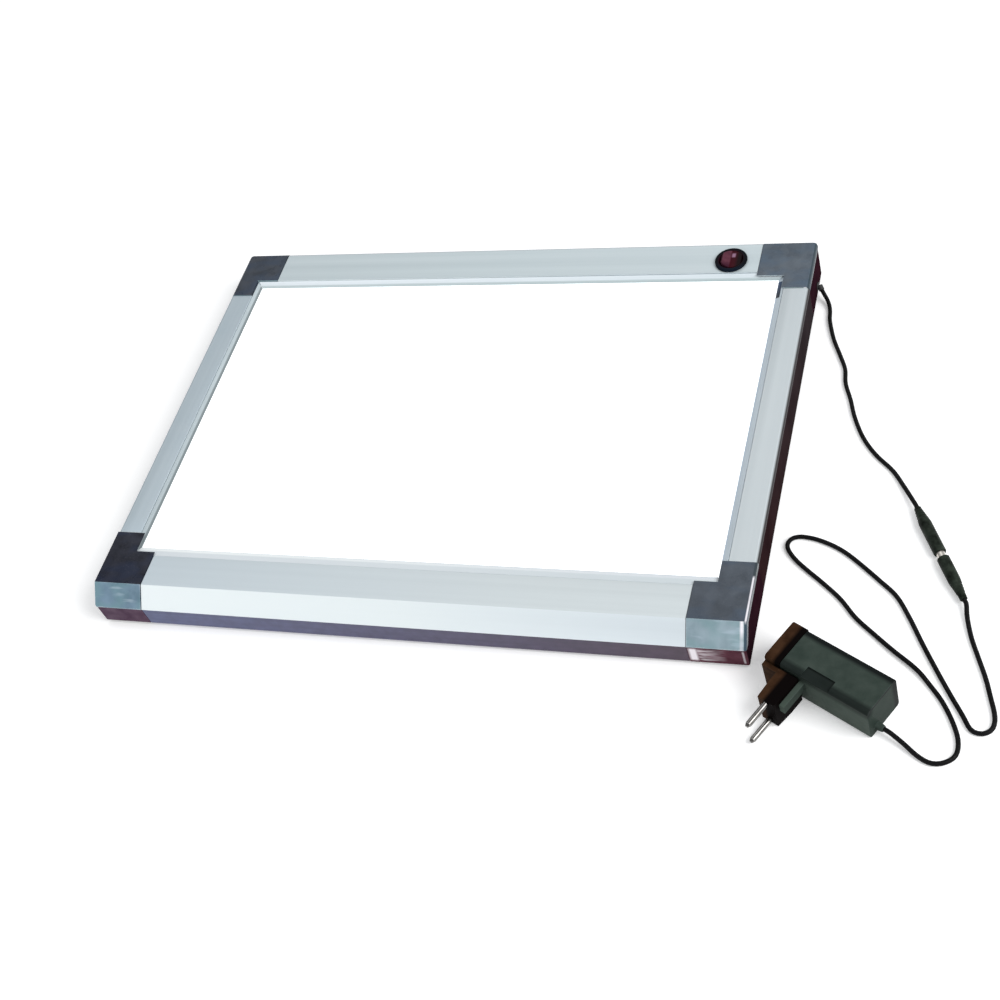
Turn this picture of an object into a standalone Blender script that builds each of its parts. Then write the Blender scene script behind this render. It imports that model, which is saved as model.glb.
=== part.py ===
"""Light box for tracing: an opal panel in an aluminium frame with corner caps, a rocker switch
and a low-voltage lead with its plug-in adapter.

Metres, +Z up. The origin is at the middle of the box's footprint, on the surface that the feet
stand on. +X runs to the right along the rail that holds the switch, and -Y is the user's side.
"""
import math

import bmesh
import bpy
from mathutils import Matrix, Vector

# Whole box
BOX_WIDTH = 0.470
BOX_DEPTH = 0.347
BODY_HEIGHT = 0.029
FLOOR_CLEARANCE = 0.003
SEAT_GAP = 0.0003
OVERRUN = 0.002

# Frame rails: flat top face, sloped nose at the front, short outer lip on the other three
RAIL_WALL = 0.0015
NOSE_RUN = 0.0132
NOSE_DROP = 0.0126
FRONT_FACE = 0.0252
BACK_FACE = 0.0312
SIDE_FACE = 0.0188
RAIL_LIP_DROP = 0.0035
RAIL_EDGE_RADIUS = 0.0024
CHAMBER_INSET = 0.0034
CHAMBER_HEIGHT = 0.013
LEDGE_SHORTFALL = 0.0012
LOWER_FLANGE_INSET = 0.0035

# Opal panel and the bead that frames it
PANEL_DROP = 0.0031
PANEL_THICKNESS = 0.003
PANEL_EDGE_GAP = 0.0008
BEAD_FRONT = 0.0083
BEAD_BACK = 0.0060
BEAD_SIDE = 0.0048
BEAD_SET_DOWN = 0.0004
BEAD_FALL = 0.0012
BEAD_FOOT = 0.0006
BEAD_SLOPE_SHARE = 0.62

# Skirt strips round the lower edge
SKIRT_WALL = 0.0025
SKIRT_SET_BACK = 0.0004
SKIRT_FOOT_REACH = 0.0145
SKIRT_FOOT_THICKNESS = 0.0016

# Corner caps and the corner boots under them
CAP_LEG_X_FRONT = 0.038
CAP_LEG_X_BACK = {"left": 0.0362, "right": 0.0397}
CAP_LEG_Y_FRONT = 0.0576
CAP_LEG_Y_BACK = 0.0475
CAP_PROUD = 0.0004
CAP_EDGE_RADIUS = 0.0026
CAP_EDGE_STEPS = 3
CAP_SKIN = 0.002
CAP_SIDE_DEPTH = 0.0038
CAP_LIP_FRONT = 0.0029
CAP_LIP_BACK = {"left": -0.0002, "right": 0.0038}
CAP_LIP_SIDE_FRONT = 0.0039
CAP_LIP_SIDE_BACK = {"left": -0.0006, "right": 0.0012}
CORNER_RADIUS_FRONT = 0.0014
CORNER_RADIUS_BACK = 0.0034
KEY_REACH = 0.011
KEY_RISER_INSET = 0.0010
BOSS_INSET = 0.0115
FRONT_BOSS_INSET = 0.0185
BOOT_FOOT_PAST_SCREW = 0.005
BOSS_RADIUS = 0.0045
BOSS_RIB_THICKNESS = 0.0018

# Base plate, feet and screws
BASE_THICKNESS = 0.0012
FOOT_RADIUS = 0.008
FOOT_INSET_X = 0.030
FOOT_INSET_Y = 0.034
FOOT_TAPER = 0.0012
SCREW_INSET = 0.0095
SCREW_SHANK_RADIUS = 0.0014
SCREW_HEAD_RADIUS = 0.0028
SCREW_HEAD_HEIGHT = 0.0013
SCREW_SLOT_WIDTH = 0.0006
SCREW_SLOT_DEPTH = 0.0005
SCREW_THREAD_PAST = 0.0016
CORNER_SCREW_BITE = 0.0035
MID_SCREW_FROM_SIDE = 0.1316

# Light source on the base plate
REFLECTOR_THICKNESS = 0.0005
REFLECTOR_MARGIN = 0.0010
LED_BAR_COUNT = 5
LED_BAR_END_GAP = 0.0142
LED_BAR_WIDTH = 0.010
LED_BAR_THICKNESS = 0.0012
LED_BAR_PITCH = 0.050
LED_CHIP_COUNT = 18
LED_CHIP_END_MARGIN = 0.0253
LED_CHIP_SIZE = 0.005
LED_CHIP_HEIGHT = 0.0012
LED_CHIP_SINK = 0.0002
BUS_WIDTH = 0.007
BUS_THICKNESS = 0.0008
BUS_END_MARGIN = 0.0008
BUS_OVERHANG = 0.003

# Rocker switch in the back rail
SWITCH_FROM_SIDE = 0.061
SWITCH_INSET = 0.0190
SWITCH_FLANGE_RADIUS = 0.0120
SWITCH_FLANGE_HEIGHT = 0.0018
SWITCH_BARREL_RADIUS = 0.0098
SWITCH_BARREL_DEPTH = 0.0145
SWITCH_HOLE_CLEARANCE = 0.0004
SWITCH_MOUTH_RADIUS = 0.009
SWITCH_WELL_DEPTH = 0.0115
SWITCH_EDGE_ROUND = 0.0007
TERMINAL_WIDTH = 0.0048
TERMINAL_THICKNESS = 0.0008
TERMINAL_LENGTH = 0.005
TERMINAL_SPACING = 0.0080
ROCKER_PLAN_RADIUS = 0.0084
ROCKER_SWEEP_RADIUS = 0.0086
ROCKER_PIVOT_DEPTH = 0.0046
ROCKER_MIDDLE_RISE = 0.0046
ROCKER_BELOW_PIVOT = 0.0030
ROCKER_HALF_THROW = math.radians(7.5)
TRUNNION_RADIUS = 0.0010
TRUNNION_OVERLAP = 0.0010
TRUNNION_CLEARANCE = 0.0003

# Connection board in the back rail's wiring channel
BOARD_LENGTH = 0.046
BOARD_WIDTH = 0.018
BOARD_THICKNESS = 0.0016
BOARD_GAP_TO_SWITCH = 0.018
BOARD_CHOKE_SIZE = 0.0075
BOARD_CHOKE_HEIGHT = 0.006
BOARD_CAN_RADIUS = 0.0032
BOARD_CAN_HEIGHT = 0.007
BOARD_CAN_SHARE = 0.2
BOARD_BLOCK_LENGTH = 0.008
BOARD_BLOCK_WIDTH = 0.014
BOARD_BLOCK_HEIGHT = 0.006
PART_SINK = 0.0004

# Leads
LEAD_RADIUS = 0.0015
WIRE_RADIUS = 0.0007
WIRE_HOLE_CLEARANCE = 0.0006
GLAND_HEIGHT = 0.0088
GLAND_FROM_BACK = 0.0225
GLAND_BODY_RADIUS = 0.0023
GLAND_FLANGE_RADIUS = 0.0030
GLAND_FLANGE_THICKNESS = 0.0006
GLAND_NOZZLE_LENGTH = 0.0036
GLAND_NOZZLE_TIP_RADIUS = 0.0020
GLAND_TURN = math.radians(56.0)
GLAND_DIP = math.radians(24.0)

# Inline socket and plug, lying on the floor; x is measured from the box's right side
JOINT_START = (0.0886, -0.0473, 0.0)
JOINT_HEADING = math.radians(-63.8)
SOCKET_LENGTH = 0.0385
SOCKET_RADIUS = 0.0041
SOCKET_TAIL_RADIUS = 0.0024
SOCKET_TAIL_LENGTH = 0.013
SOCKET_BORE_DEPTH = 0.0095
BARREL_RADIUS = 0.00275
BARREL_BORE_RADIUS = 0.00125
BARREL_SHOWN = 0.0042
BARREL_INSERTED = 0.0085
PLUG_LENGTH = 0.0335
PLUG_RADIUS = 0.0041
PLUG_TAIL_RADIUS = 0.0024
PLUG_TAIL_LENGTH = 0.016
GRIP_RIB_COUNT = 4
GRIP_RIB_PITCH = 0.0022
GRIP_RIB_DEPTH = 0.0004
GRIP_RIB_START_SHARE = 0.25

# Plug-in adapter, lying on its side; x is measured from the box's right side
ADAPTER_CORNER = (0.0272, -0.1545, 0.0)
ADAPTER_HEADING = math.radians(-28.7)
ADAPTER_LENGTH = 0.073
ADAPTER_HEIGHT = 0.030
ADAPTER_THICKNESS = 0.028
ADAPTER_EDGE = 0.0022
COVER_LENGTH = 0.0105
COVER_PROUD = 0.0006
COVER_ARM_LENGTH = 0.0035
NOSE_START = 0.0112
NOSE_WIDTH = 0.0135
NOSE_LENGTH = 0.0232
NOSE_DEPTH = 0.0236
NOSE_MIDDLE = 0.0122
NOSE_TAPER_SHARE = 0.88
SHOULDER_WIDTH = 0.0036
SHOULDER_LENGTH = 0.0200
SHOULDER_LOW = 0.0148
SHOULDER_HIGH = 0.0215
PIN_RADIUS = 0.0020
PIN_LENGTH = 0.019
PIN_SPACING = 0.0180
PIN_TIP_LENGTH = 0.0018
GRIP_POCKET_START = 0.0262
GRIP_POCKET_LENGTH = 0.0195
GRIP_POCKET_HEIGHT = 0.0085
GRIP_POCKET_DEPTH = 0.0014
EXIT_ACROSS = 0.0221
EXIT_HEIGHT = 0.005
SLEEVE_LENGTH = 0.0045
SLEEVE_ROOT_RADIUS = 0.0029
SLEEVE_TIP_RADIUS = 0.0021

# Facet counts
ROUND_SEGMENTS = 24
SMALL_ROUND_SEGMENTS = 12
CORNER_SEGMENTS = 6

# Free stretches of the two leads: points on the floor, chosen by hand, x measured from the box's right side
BOX_LEAD_ROUTE = [
    (0.0077, 0.1416, 0.0036), (0.0097, 0.1366, 0.0021), (0.0107, 0.1308, 0.0016),
    (0.0117, 0.1222, 0.0016), (0.0165, 0.1048, 0.0016), (0.0233, 0.0880, 0.0016),
    (0.0280, 0.0755, 0.0016), (0.0300, 0.0620, 0.0016), (0.0351, 0.0470, 0.0016),
    (0.0398, 0.0310, 0.0016), (0.0475, 0.0130, 0.0016), (0.0573, -0.0015, 0.0016),
    (0.0695, -0.0145, 0.0016), (0.0778, -0.0275, 0.0022),
]
ADAPTER_LEAD_ROUTE = [
    (0.1250, -0.1275, 0.0026), (0.1283, -0.1412, 0.0016), (0.1332, -0.1550, 0.0016),
    (0.1385, -0.1696, 0.0016), (0.1424, -0.1835, 0.0016), (0.1447, -0.1920, 0.0016),
    (0.1454, -0.1985, 0.0016), (0.1440, -0.2038, 0.0016), (0.1398, -0.2067, 0.0016),
    (0.1351, -0.2064, 0.0016), (0.1317, -0.2037, 0.0016), (0.1273, -0.1957, 0.0016),
    (0.1195, -0.1826, 0.0016), (0.1105, -0.1667, 0.0016), (0.1005, -0.1482, 0.0016),
    (0.0912, -0.1300, 0.0016), (0.0820, -0.1147, 0.0016), (0.0705, -0.1035, 0.0016),
    (0.0591, -0.0931, 0.0016), (0.0480, -0.0838, 0.0016), (0.0384, -0.0779, 0.0016),
    (0.0285, -0.0738, 0.0016), (0.0215, -0.0722, 0.0016), (0.0162, -0.0719, 0.0016),
    (0.0115, -0.0737, 0.0016), (0.0093, -0.0778, 0.0016), (0.0104, -0.0828, 0.0016),
    (0.0160, -0.0903, 0.0016), (0.0241, -0.0978, 0.0016), (0.0358, -0.1077, 0.0016),
    (0.0480, -0.1190, 0.0016), (0.0588, -0.1322, 0.0016), (0.0706, -0.1430, 0.0016),
    (0.0837, -0.1547, 0.0022), (0.0985, -0.1668, 0.0022), (0.1070, -0.1765, 0.0016),
    (0.1155, -0.1880, 0.0016), (0.1225, -0.2015, 0.0016), (0.1262, -0.2130, 0.0016),
    (0.1255, -0.2225, 0.0016), (0.1195, -0.2278, 0.0016), (0.1120, -0.2288, 0.0017),
    (0.1045, -0.2252, 0.0021), (0.0960, -0.2185, 0.0034),
]
LEAD_END_RUN = 0.0035
BOX_LEAD_POINTS = 26
ADAPTER_LEAD_POINTS = 54
WIRE_POINTS = 11

# Heights and places that follow from the sizes above
BODY_BOTTOM = FLOOR_CLEARANCE
RAIL_TOP = BODY_BOTTOM + BODY_HEIGHT
CAP_TOP = RAIL_TOP + CAP_PROUD
NOSE_BOTTOM = RAIL_TOP - NOSE_DROP
LIP_BOTTOM = RAIL_TOP - RAIL_LIP_DROP
CHAMBER_BOTTOM = RAIL_TOP - CHAMBER_HEIGHT
PANEL_TOP = RAIL_TOP - PANEL_DROP
PANEL_BOTTOM = PANEL_TOP - PANEL_THICKNESS
LEDGE_TOP = PANEL_BOTTOM - SEAT_GAP
BEAD_TOP = RAIL_TOP - BEAD_SET_DOWN
FRONT_INSET = NOSE_RUN + FRONT_FACE
BASE_BOTTOM = BODY_BOTTOM + SKIRT_FOOT_THICKNESS + SEAT_GAP
BASE_TOP = BASE_BOTTOM + BASE_THICKNESS
FLANGE_BOTTOM = BASE_TOP + SEAT_GAP
FLANGE_TOP = FLANGE_BOTTOM + RAIL_WALL
SKIRT_INNER = SKIRT_SET_BACK + SKIRT_WALL
BASE_INSET = SKIRT_INNER + SEAT_GAP
HALF_WIDTH = BOX_WIDTH / 2
HALF_DEPTH = BOX_DEPTH / 2
LED_BAR_LENGTH = BOX_WIDTH - 2 * (SIDE_FACE + LED_BAR_END_GAP)
LED_CHIP_PITCH = (LED_BAR_LENGTH - 2 * LED_CHIP_END_MARGIN) / (LED_CHIP_COUNT - 1)
SWITCH_X = HALF_WIDTH - SWITCH_FROM_SIDE
CORNERS = (("front", "left"), ("front", "right"), ("back", "left"), ("back", "right"))
FACE_INSET = {"front": FRONT_INSET, "back": BACK_FACE, "left": SIDE_FACE, "right": SIDE_FACE}
BEAD_WIDTH = {"front": BEAD_FRONT, "back": BEAD_BACK, "left": BEAD_SIDE, "right": BEAD_SIDE}

FRAME_SILVER = ("anodised_aluminium", (0.60, 0.64, 0.67), 0.36, 0.85)
CAP_SLATE = ("slate_plastic", (0.085, 0.10, 0.13), 0.42, 0.0)
SKIRT_PLUM = ("plum_plastic", (0.10, 0.085, 0.13), 0.35, 0.0)
BOOT_MAROON = ("maroon_plastic", (0.045, 0.012, 0.018), 0.25, 0.0)
OPAL = ("opal_acrylic", (0.92, 0.95, 0.96), 0.3, 0.0)
BASE_PAINT = ("painted_steel", (0.03, 0.03, 0.034), 0.5, 0.0)
RUBBER = ("black_rubber", (0.015, 0.015, 0.016), 0.75, 0.0)
ZINC = ("zinc_steel", (0.50, 0.50, 0.48), 0.35, 1.0)
WHITE_FILM = ("white_film", (0.90, 0.90, 0.90), 0.6, 0.0)
BOARD_WHITE = ("white_circuit_board", (0.82, 0.83, 0.80), 0.45, 0.0)
BOARD_GREEN = ("green_circuit_board", (0.03, 0.16, 0.07), 0.45, 0.0)
SWITCH_BLACK = ("black_nylon", (0.012, 0.012, 0.014), 0.35, 0.0)
ROCKER_RED = ("dark_red_polycarbonate", (0.11, 0.008, 0.016), 0.2, 0.0)
BRASS = ("tinned_brass", (0.62, 0.60, 0.52), 0.3, 1.0)
LEAD_BLACK = ("black_vinyl", (0.012, 0.012, 0.012), 0.5, 0.0)
WIRE_RED = ("red_vinyl", (0.45, 0.02, 0.02), 0.5, 0.0)
ADAPTER_GREY = ("grey_green_plastic", (0.050, 0.070, 0.062), 0.5, 0.0)
COVER_BROWN = ("brown_plastic", (0.040, 0.020, 0.012), 0.5, 0.0)
NICKEL = ("nickel_plate", (0.68, 0.68, 0.66), 0.2, 1.0)


def clear_scene():
    for obj in list(bpy.data.objects):
        bpy.data.objects.remove(obj, do_unlink=True)


def new_collection(name):
    group = bpy.data.collections.new(name)
    bpy.context.scene.collection.children.link(group)
    return group


clear_scene()
PARTS = new_collection("light_box")
CUTTERS = new_collection("cutters")


def finish_material(spec):
    name, colour, roughness, metallic = spec
    material = bpy.data.materials.get(name)
    if material is None:
        material = bpy.data.materials.new(name)
        material.use_nodes = True
        shader = material.node_tree.nodes["Principled BSDF"]
        shader.inputs["Base Color"].default_value = (*colour, 1.0)
        shader.inputs["Roughness"].default_value = roughness
        shader.inputs["Metallic"].default_value = metallic
        material.diffuse_color = (*colour, 1.0)
    return material


def add_object(name, data, finish=None, matrix=None):
    """A part when it has a finish, otherwise a cutter or a lump that a part takes in."""
    obj = bpy.data.objects.new(name, data)
    if finish is None:
        CUTTERS.objects.link(obj)
        obj.hide_render = True
        obj.display_type = "WIRE"
    else:
        PARTS.objects.link(obj)
        obj.data.materials.append(finish_material(finish))
    if matrix is not None:
        obj.matrix_world = matrix
    return obj


def mesh_from(bm, name):
    mesh = bpy.data.meshes.new(name)
    bm.to_mesh(mesh)
    bm.free()
    return mesh


def box(name, low, high, finish=None):
    low, high = Vector(low), Vector(high)
    bm = bmesh.new()
    bmesh.ops.create_cube(bm, size=1.0)
    bmesh.ops.scale(bm, vec=high - low, verts=bm.verts)
    return add_object(name, mesh_from(bm, name), finish, Matrix.Translation((low + high) / 2))


def rod(name, start, end, radius, finish=None, end_radius=None, segments=SMALL_ROUND_SEGMENTS):
    """A cylinder or cone between two points."""
    start, end = Vector(start), Vector(end)
    run = end - start
    bm = bmesh.new()
    bmesh.ops.create_cone(bm, cap_ends=True, segments=segments, radius1=radius,
                          radius2=radius if end_radius is None else end_radius, depth=run.length)
    turn = Vector((0, 0, 1)).rotation_difference(run.normalized()).to_matrix().to_4x4()
    mesh = mesh_from(bm, name)
    mesh.shade_smooth()
    mesh.set_sharp_from_angle(angle=math.radians(35))
    return add_object(name, mesh, finish, Matrix.Translation((start + end) / 2) @ turn)


def curve_to_mesh(curve_object, name, finish):
    """The evaluated curve as a mesh with its caps welded on."""
    bpy.context.view_layer.update()
    graph = bpy.context.evaluated_depsgraph_get()
    mesh = bpy.data.meshes.new_from_object(curve_object.evaluated_get(graph))
    mesh.materials.clear()
    bm = bmesh.new()
    bm.from_mesh(mesh)
    bmesh.ops.remove_doubles(bm, verts=bm.verts, dist=SEAT_GAP / 100)
    bmesh.ops.recalc_face_normals(bm, faces=bm.faces)
    bm.to_mesh(mesh)
    bm.free()
    matrix = curve_object.matrix_world.copy()
    bpy.data.objects.remove(curve_object, do_unlink=True)
    return add_object(name, mesh, finish, matrix)


def slab(name, loops, low, high, finish=None, matrix=Matrix.Identity(4)):
    """Flat outlines, with any inner ones as holes, thickened from low to high along local Z."""
    curve = bpy.data.curves.new(name, "CURVE")
    curve.dimensions = "2D"
    curve.fill_mode = "BOTH"
    curve.extrude = (high - low) / 2
    for loop in loops:
        spline = curve.splines.new("POLY")
        spline.points.add(len(loop) - 1)
        for point, (across, along) in zip(spline.points, loop):
            point.co = (across, along, 0, 1)
        spline.use_cyclic_u = True
    obj = bpy.data.objects.new(name, curve)
    CUTTERS.objects.link(obj)
    obj.matrix_world = matrix @ Matrix.Translation((0, 0, (low + high) / 2))
    return curve_to_mesh(obj, name, finish)


def turned(name, profile, matrix, finish=None, segments=ROUND_SEGMENTS):
    """A profile of (radius, height) points, outer side from top to bottom, turned round local Z."""
    mesh = bpy.data.meshes.new(name)
    points = [(radius, 0, height) for radius, height in profile]
    mesh.from_pydata(points, [(k, k + 1) for k in range(len(points) - 1)], [])
    obj = add_object(name, mesh, finish, matrix)
    screw = obj.modifiers.new("turn", "SCREW")
    screw.steps = segments
    screw.render_steps = segments
    screw.use_merge_vertices = True
    screw.merge_threshold = SEAT_GAP / 100
    screw.use_smooth_shade = True
    return obj


def combine(target, operation, *others):
    for other in others:
        modifier = target.modifiers.new(operation.lower(), "BOOLEAN")
        modifier.operation = operation
        modifier.solver = "EXACT"
        modifier.object = other
    return target


def cut(target, *cutters):
    return combine(target, "DIFFERENCE", *cutters)


def join(target, *lumps):
    return combine(target, "UNION", *lumps)


def keep_inside(target, region):
    return combine(target, "INTERSECT", region)


def arc(centre, radius, start, end, segments=CORNER_SEGMENTS):
    """Points along an arc, angles in degrees."""
    steps = [math.radians(start + (end - start) * k / segments) for k in range(segments + 1)]
    return [(centre[0] + radius * math.cos(a), centre[1] + radius * math.sin(a)) for a in steps]


def plan_outline(inset):
    """The box's footprint drawn in by inset, with its four corner radii drawn in alike."""
    right, back = HALF_WIDTH - inset, HALF_DEPTH - inset
    front_r = max(CORNER_RADIUS_FRONT - inset, RAIL_WALL / 2)
    back_r = max(CORNER_RADIUS_BACK - inset, RAIL_WALL / 2)
    return (arc((right - front_r, -back + front_r), front_r, -90, 0)
            + arc((right - back_r, back - back_r), back_r, 0, 90)
            + arc((-right + back_r, back - back_r), back_r, 90, 180)
            + arc((-right + front_r, -back + front_r), front_r, 180, 270))


def side_matrix(side):
    """Local X runs inwards from a side's outer face, local Y is up and local Z runs along the side."""
    inward, origin = {
        "front": ((0, 1, 0), (0, -HALF_DEPTH, 0)),
        "back": ((0, -1, 0), (0, HALF_DEPTH, 0)),
        "left": ((1, 0, 0), (-HALF_WIDTH, 0, 0)),
        "right": ((-1, 0, 0), (HALF_WIDTH, 0, 0)),
    }[side]
    inward, up = Vector(inward), Vector((0, 0, 1))
    along = inward.cross(up)
    turn = Matrix((inward, up, along)).transposed().to_4x4()
    return Matrix.Translation(origin) @ turn


def side_span(side):
    """Start and end of a stretch along a side, between the corner legs, in its local Z."""
    if side in ("front", "back"):
        left, right = (HALF_WIDTH - corner_leg_x((side, end)) - SEAT_GAP for end in ("left", "right"))
        return (-left, right) if side == "front" else (-right, left)
    low, high = -HALF_DEPTH + CAP_LEG_Y_FRONT + SEAT_GAP, HALF_DEPTH - CAP_LEG_Y_BACK - SEAT_GAP
    return (low, high) if side == "right" else (-high, -low)


def front_rail_loops():
    """Closed nose chamber over a web, a panel ledge and an open wiring channel."""
    wall = RAIL_WALL
    slope = math.atan2(NOSE_DROP, NOSE_RUN)
    web = FRONT_INSET - wall
    ledge = FRONT_INSET + BEAD_FRONT - LEDGE_SHORTFALL
    chin = wall / math.sin(slope) + wall / math.tan(slope)
    crown = NOSE_RUN + wall * math.tan(slope / 2)
    outer = [(0, NOSE_BOTTOM), (NOSE_RUN, RAIL_TOP), (FRONT_INSET, RAIL_TOP), (FRONT_INSET, LEDGE_TOP),
             (ledge, LEDGE_TOP), (ledge, LEDGE_TOP - wall), (FRONT_INSET, LEDGE_TOP - wall),
             (FRONT_INSET, FLANGE_BOTTOM), (LOWER_FLANGE_INSET, FLANGE_BOTTOM),
             (LOWER_FLANGE_INSET, FLANGE_TOP), (web, FLANGE_TOP), (web, NOSE_BOTTOM)]
    low, high = NOSE_BOTTOM + wall, RAIL_TOP - wall
    hole = [(chin, low), (crown, high), (web, high), (web, low)]
    return [outer, hole]


def plain_rail_loops(side):
    """The section of the other three rails: outer lip, closed chamber, web, ledge and lower flange."""
    wall, face = RAIL_WALL, FACE_INSET[side]
    web = face - wall
    ledge = face + BEAD_WIDTH[side] - LEDGE_SHORTFALL
    middle = (RAIL_EDGE_RADIUS, RAIL_TOP - RAIL_EDGE_RADIUS)
    edge = arc(middle, RAIL_EDGE_RADIUS, 180, 90, CORNER_SEGMENTS // 2)
    outer = [(CHAMBER_INSET, CHAMBER_BOTTOM), (CHAMBER_INSET, LIP_BOTTOM), (0, LIP_BOTTOM), *edge,
             (face, RAIL_TOP), (face, LEDGE_TOP), (ledge, LEDGE_TOP), (ledge, LEDGE_TOP - wall),
             (face, LEDGE_TOP - wall), (face, FLANGE_BOTTOM), (LOWER_FLANGE_INSET, FLANGE_BOTTOM),
             (LOWER_FLANGE_INSET, FLANGE_TOP), (web, FLANGE_TOP), (web, CHAMBER_BOTTOM)]
    low, high = CHAMBER_BOTTOM + wall, RAIL_TOP - wall
    hole = [(CHAMBER_INSET + wall, low), (CHAMBER_INSET + wall, high), (web, high), (web, low)]
    return [outer, hole]


def mid_screw_places():
    reach = HALF_WIDTH - MID_SCREW_FROM_SIDE
    line = HALF_DEPTH - SCREW_INSET
    return [(-reach, -line), (reach, -line), (-reach, line), (reach, line)]


def boss_place(corner):
    sx, sy = corner_signs(corner)
    return sx * (HALF_WIDTH - BOSS_INSET), sy * (HALF_DEPTH - boss_inset(corner))


def boss_inset(corner):
    """How far the corner screw stands from the front or back face."""
    return FRONT_BOSS_INSET if corner[0] == "front" else BOSS_INSET


def corner_screw_places():
    return [boss_place(corner) for corner in CORNERS]


def screw_bores(places, top):
    radius = SCREW_SHANK_RADIUS + SEAT_GAP
    return [rod("screw_bore", (x, y, BODY_BOTTOM - OVERRUN), (x, y, top), radius) for x, y in places]


def near(places, side):
    """The places that lie along one side."""
    return [p for p in places if (p[1] < 0) == (side == "front")] if side in ("front", "back") else []


def make_rails():
    rails = {}
    for side in ("front", "back", "left", "right"):
        loops = front_rail_loops() if side == "front" else plain_rail_loops(side)
        low, high = side_span(side)
        rail = slab("rail_" + side, loops, low, high, FRAME_SILVER, side_matrix(side))
        cut(rail, *screw_bores(near(mid_screw_places(), side), FLANGE_TOP + OVERRUN))
        rails[side] = rail
    switch_y = HALF_DEPTH - SWITCH_INSET
    hole_radius = SWITCH_BARREL_RADIUS + SWITCH_HOLE_CLEARANCE
    cut(rails["back"], rod("switch_hole", (SWITCH_X, switch_y, CHAMBER_BOTTOM - OVERRUN),
                           (SWITCH_X, switch_y, RAIL_TOP + OVERRUN), hole_radius, segments=ROUND_SEGMENTS))
    hole_x, hole_z = feed_hole()
    cut(rails["back"], rod("feed_hole", (hole_x, HALF_DEPTH - BACK_FACE - OVERRUN, hole_z),
                           (hole_x, HALF_DEPTH - BACK_FACE + RAIL_WALL + OVERRUN, hole_z),
                           WIRE_RADIUS + WIRE_HOLE_CLEARANCE))


def make_beads():
    """Glazing beads with mitred ends, from the rails' inner edge down to the panel."""
    for side, width in BEAD_WIDTH.items():
        inset = FACE_INSET[side] + SEAT_GAP
        foot = PANEL_TOP + SEAT_GAP
        knee = width * BEAD_SLOPE_SHARE
        reach = width - SEAT_GAP
        profile = [(inset, foot), (inset, BEAD_TOP), (inset + knee, BEAD_TOP - BEAD_FALL),
                   (inset + reach, foot + BEAD_FOOT), (inset + reach, foot)]
        long_half = (HALF_WIDTH if side in ("front", "back") else HALF_DEPTH) + OVERRUN
        bead = slab("bead_" + side, [profile], -long_half, long_half, FRAME_SILVER, side_matrix(side))
        region = slab("bead_mitre", [mitre_outline(side)], PANEL_TOP - OVERRUN, RAIL_TOP + OVERRUN)
        keep_inside(bead, region)


def mitre_outline(side):
    """Plan of one side of the bead frame, its ends cut on the line from face corner to panel corner."""
    left, right = -HALF_WIDTH + FACE_INSET["left"], HALF_WIDTH - FACE_INSET["right"]
    front, back = -HALF_DEPTH + FACE_INSET["front"], HALF_DEPTH - FACE_INSET["back"]
    in_left, in_right = left + BEAD_WIDTH["left"], right - BEAD_WIDTH["right"]
    in_front, in_back = front + BEAD_WIDTH["front"], back - BEAD_WIDTH["back"]
    gap = SEAT_GAP / 2
    return {
        "front": [(left + gap, front), (right - gap, front),
                  (in_right - gap, in_front), (in_left + gap, in_front)],
        "back": [(left + gap, back), (right - gap, back),
                 (in_right - gap, in_back), (in_left + gap, in_back)],
        "left": [(left, front + gap), (left, back - gap),
                 (in_left, in_back - gap), (in_left, in_front + gap)],
        "right": [(right, front + gap), (right, back - gap),
                  (in_right, in_back - gap), (in_right, in_front + gap)],
    }[side]


def corner_signs(corner):
    front_or_back, left_or_right = corner
    return (-1 if left_or_right == "left" else 1), (-1 if front_or_back == "front" else 1)


def corner_box(corner, low, high, inner_x, inner_y, outer=0.0, name="corner_region"):
    """A block in one corner, from the outer faces (less outer) in to inner_x and inner_y."""
    sx, sy = corner_signs(corner)
    xs = sorted((sx * (HALF_WIDTH - outer), sx * (HALF_WIDTH - inner_x)))
    ys = sorted((sy * (HALF_DEPTH - outer), sy * (HALF_DEPTH - inner_y)))
    return box(name, (xs[0], ys[0], low), (xs[1], ys[1], high))


def corner_leg_x(corner):
    return CAP_LEG_X_FRONT if corner[0] == "front" else CAP_LEG_X_BACK[corner[1]]


def corner_leg_y(corner):
    return CAP_LEG_Y_FRONT if corner[0] == "front" else CAP_LEG_Y_BACK


def make_skirts():
    """Lower strips: a wall and a foot that turns in under the base plate."""
    for side in ("front", "back", "left", "right"):
        top = (NOSE_BOTTOM if side == "front" else LIP_BOTTOM) - SEAT_GAP
        low, high = side_span(side)
        profile = [(SKIRT_SET_BACK, BODY_BOTTOM), (SKIRT_SET_BACK, top), (SKIRT_INNER, top),
                   (SKIRT_INNER, BODY_BOTTOM + SKIRT_FOOT_THICKNESS),
                   (SKIRT_FOOT_REACH, BODY_BOTTOM + SKIRT_FOOT_THICKNESS), (SKIRT_FOOT_REACH, BODY_BOTTOM)]
        finish = SKIRT_PLUM if side == "front" else BOOT_MAROON
        skirt = slab("skirt_" + side, [profile], low, high, finish, side_matrix(side))
        cut(skirt, *screw_bores(near(mid_screw_places(), side), BASE_BOTTOM + OVERRUN))


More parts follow.
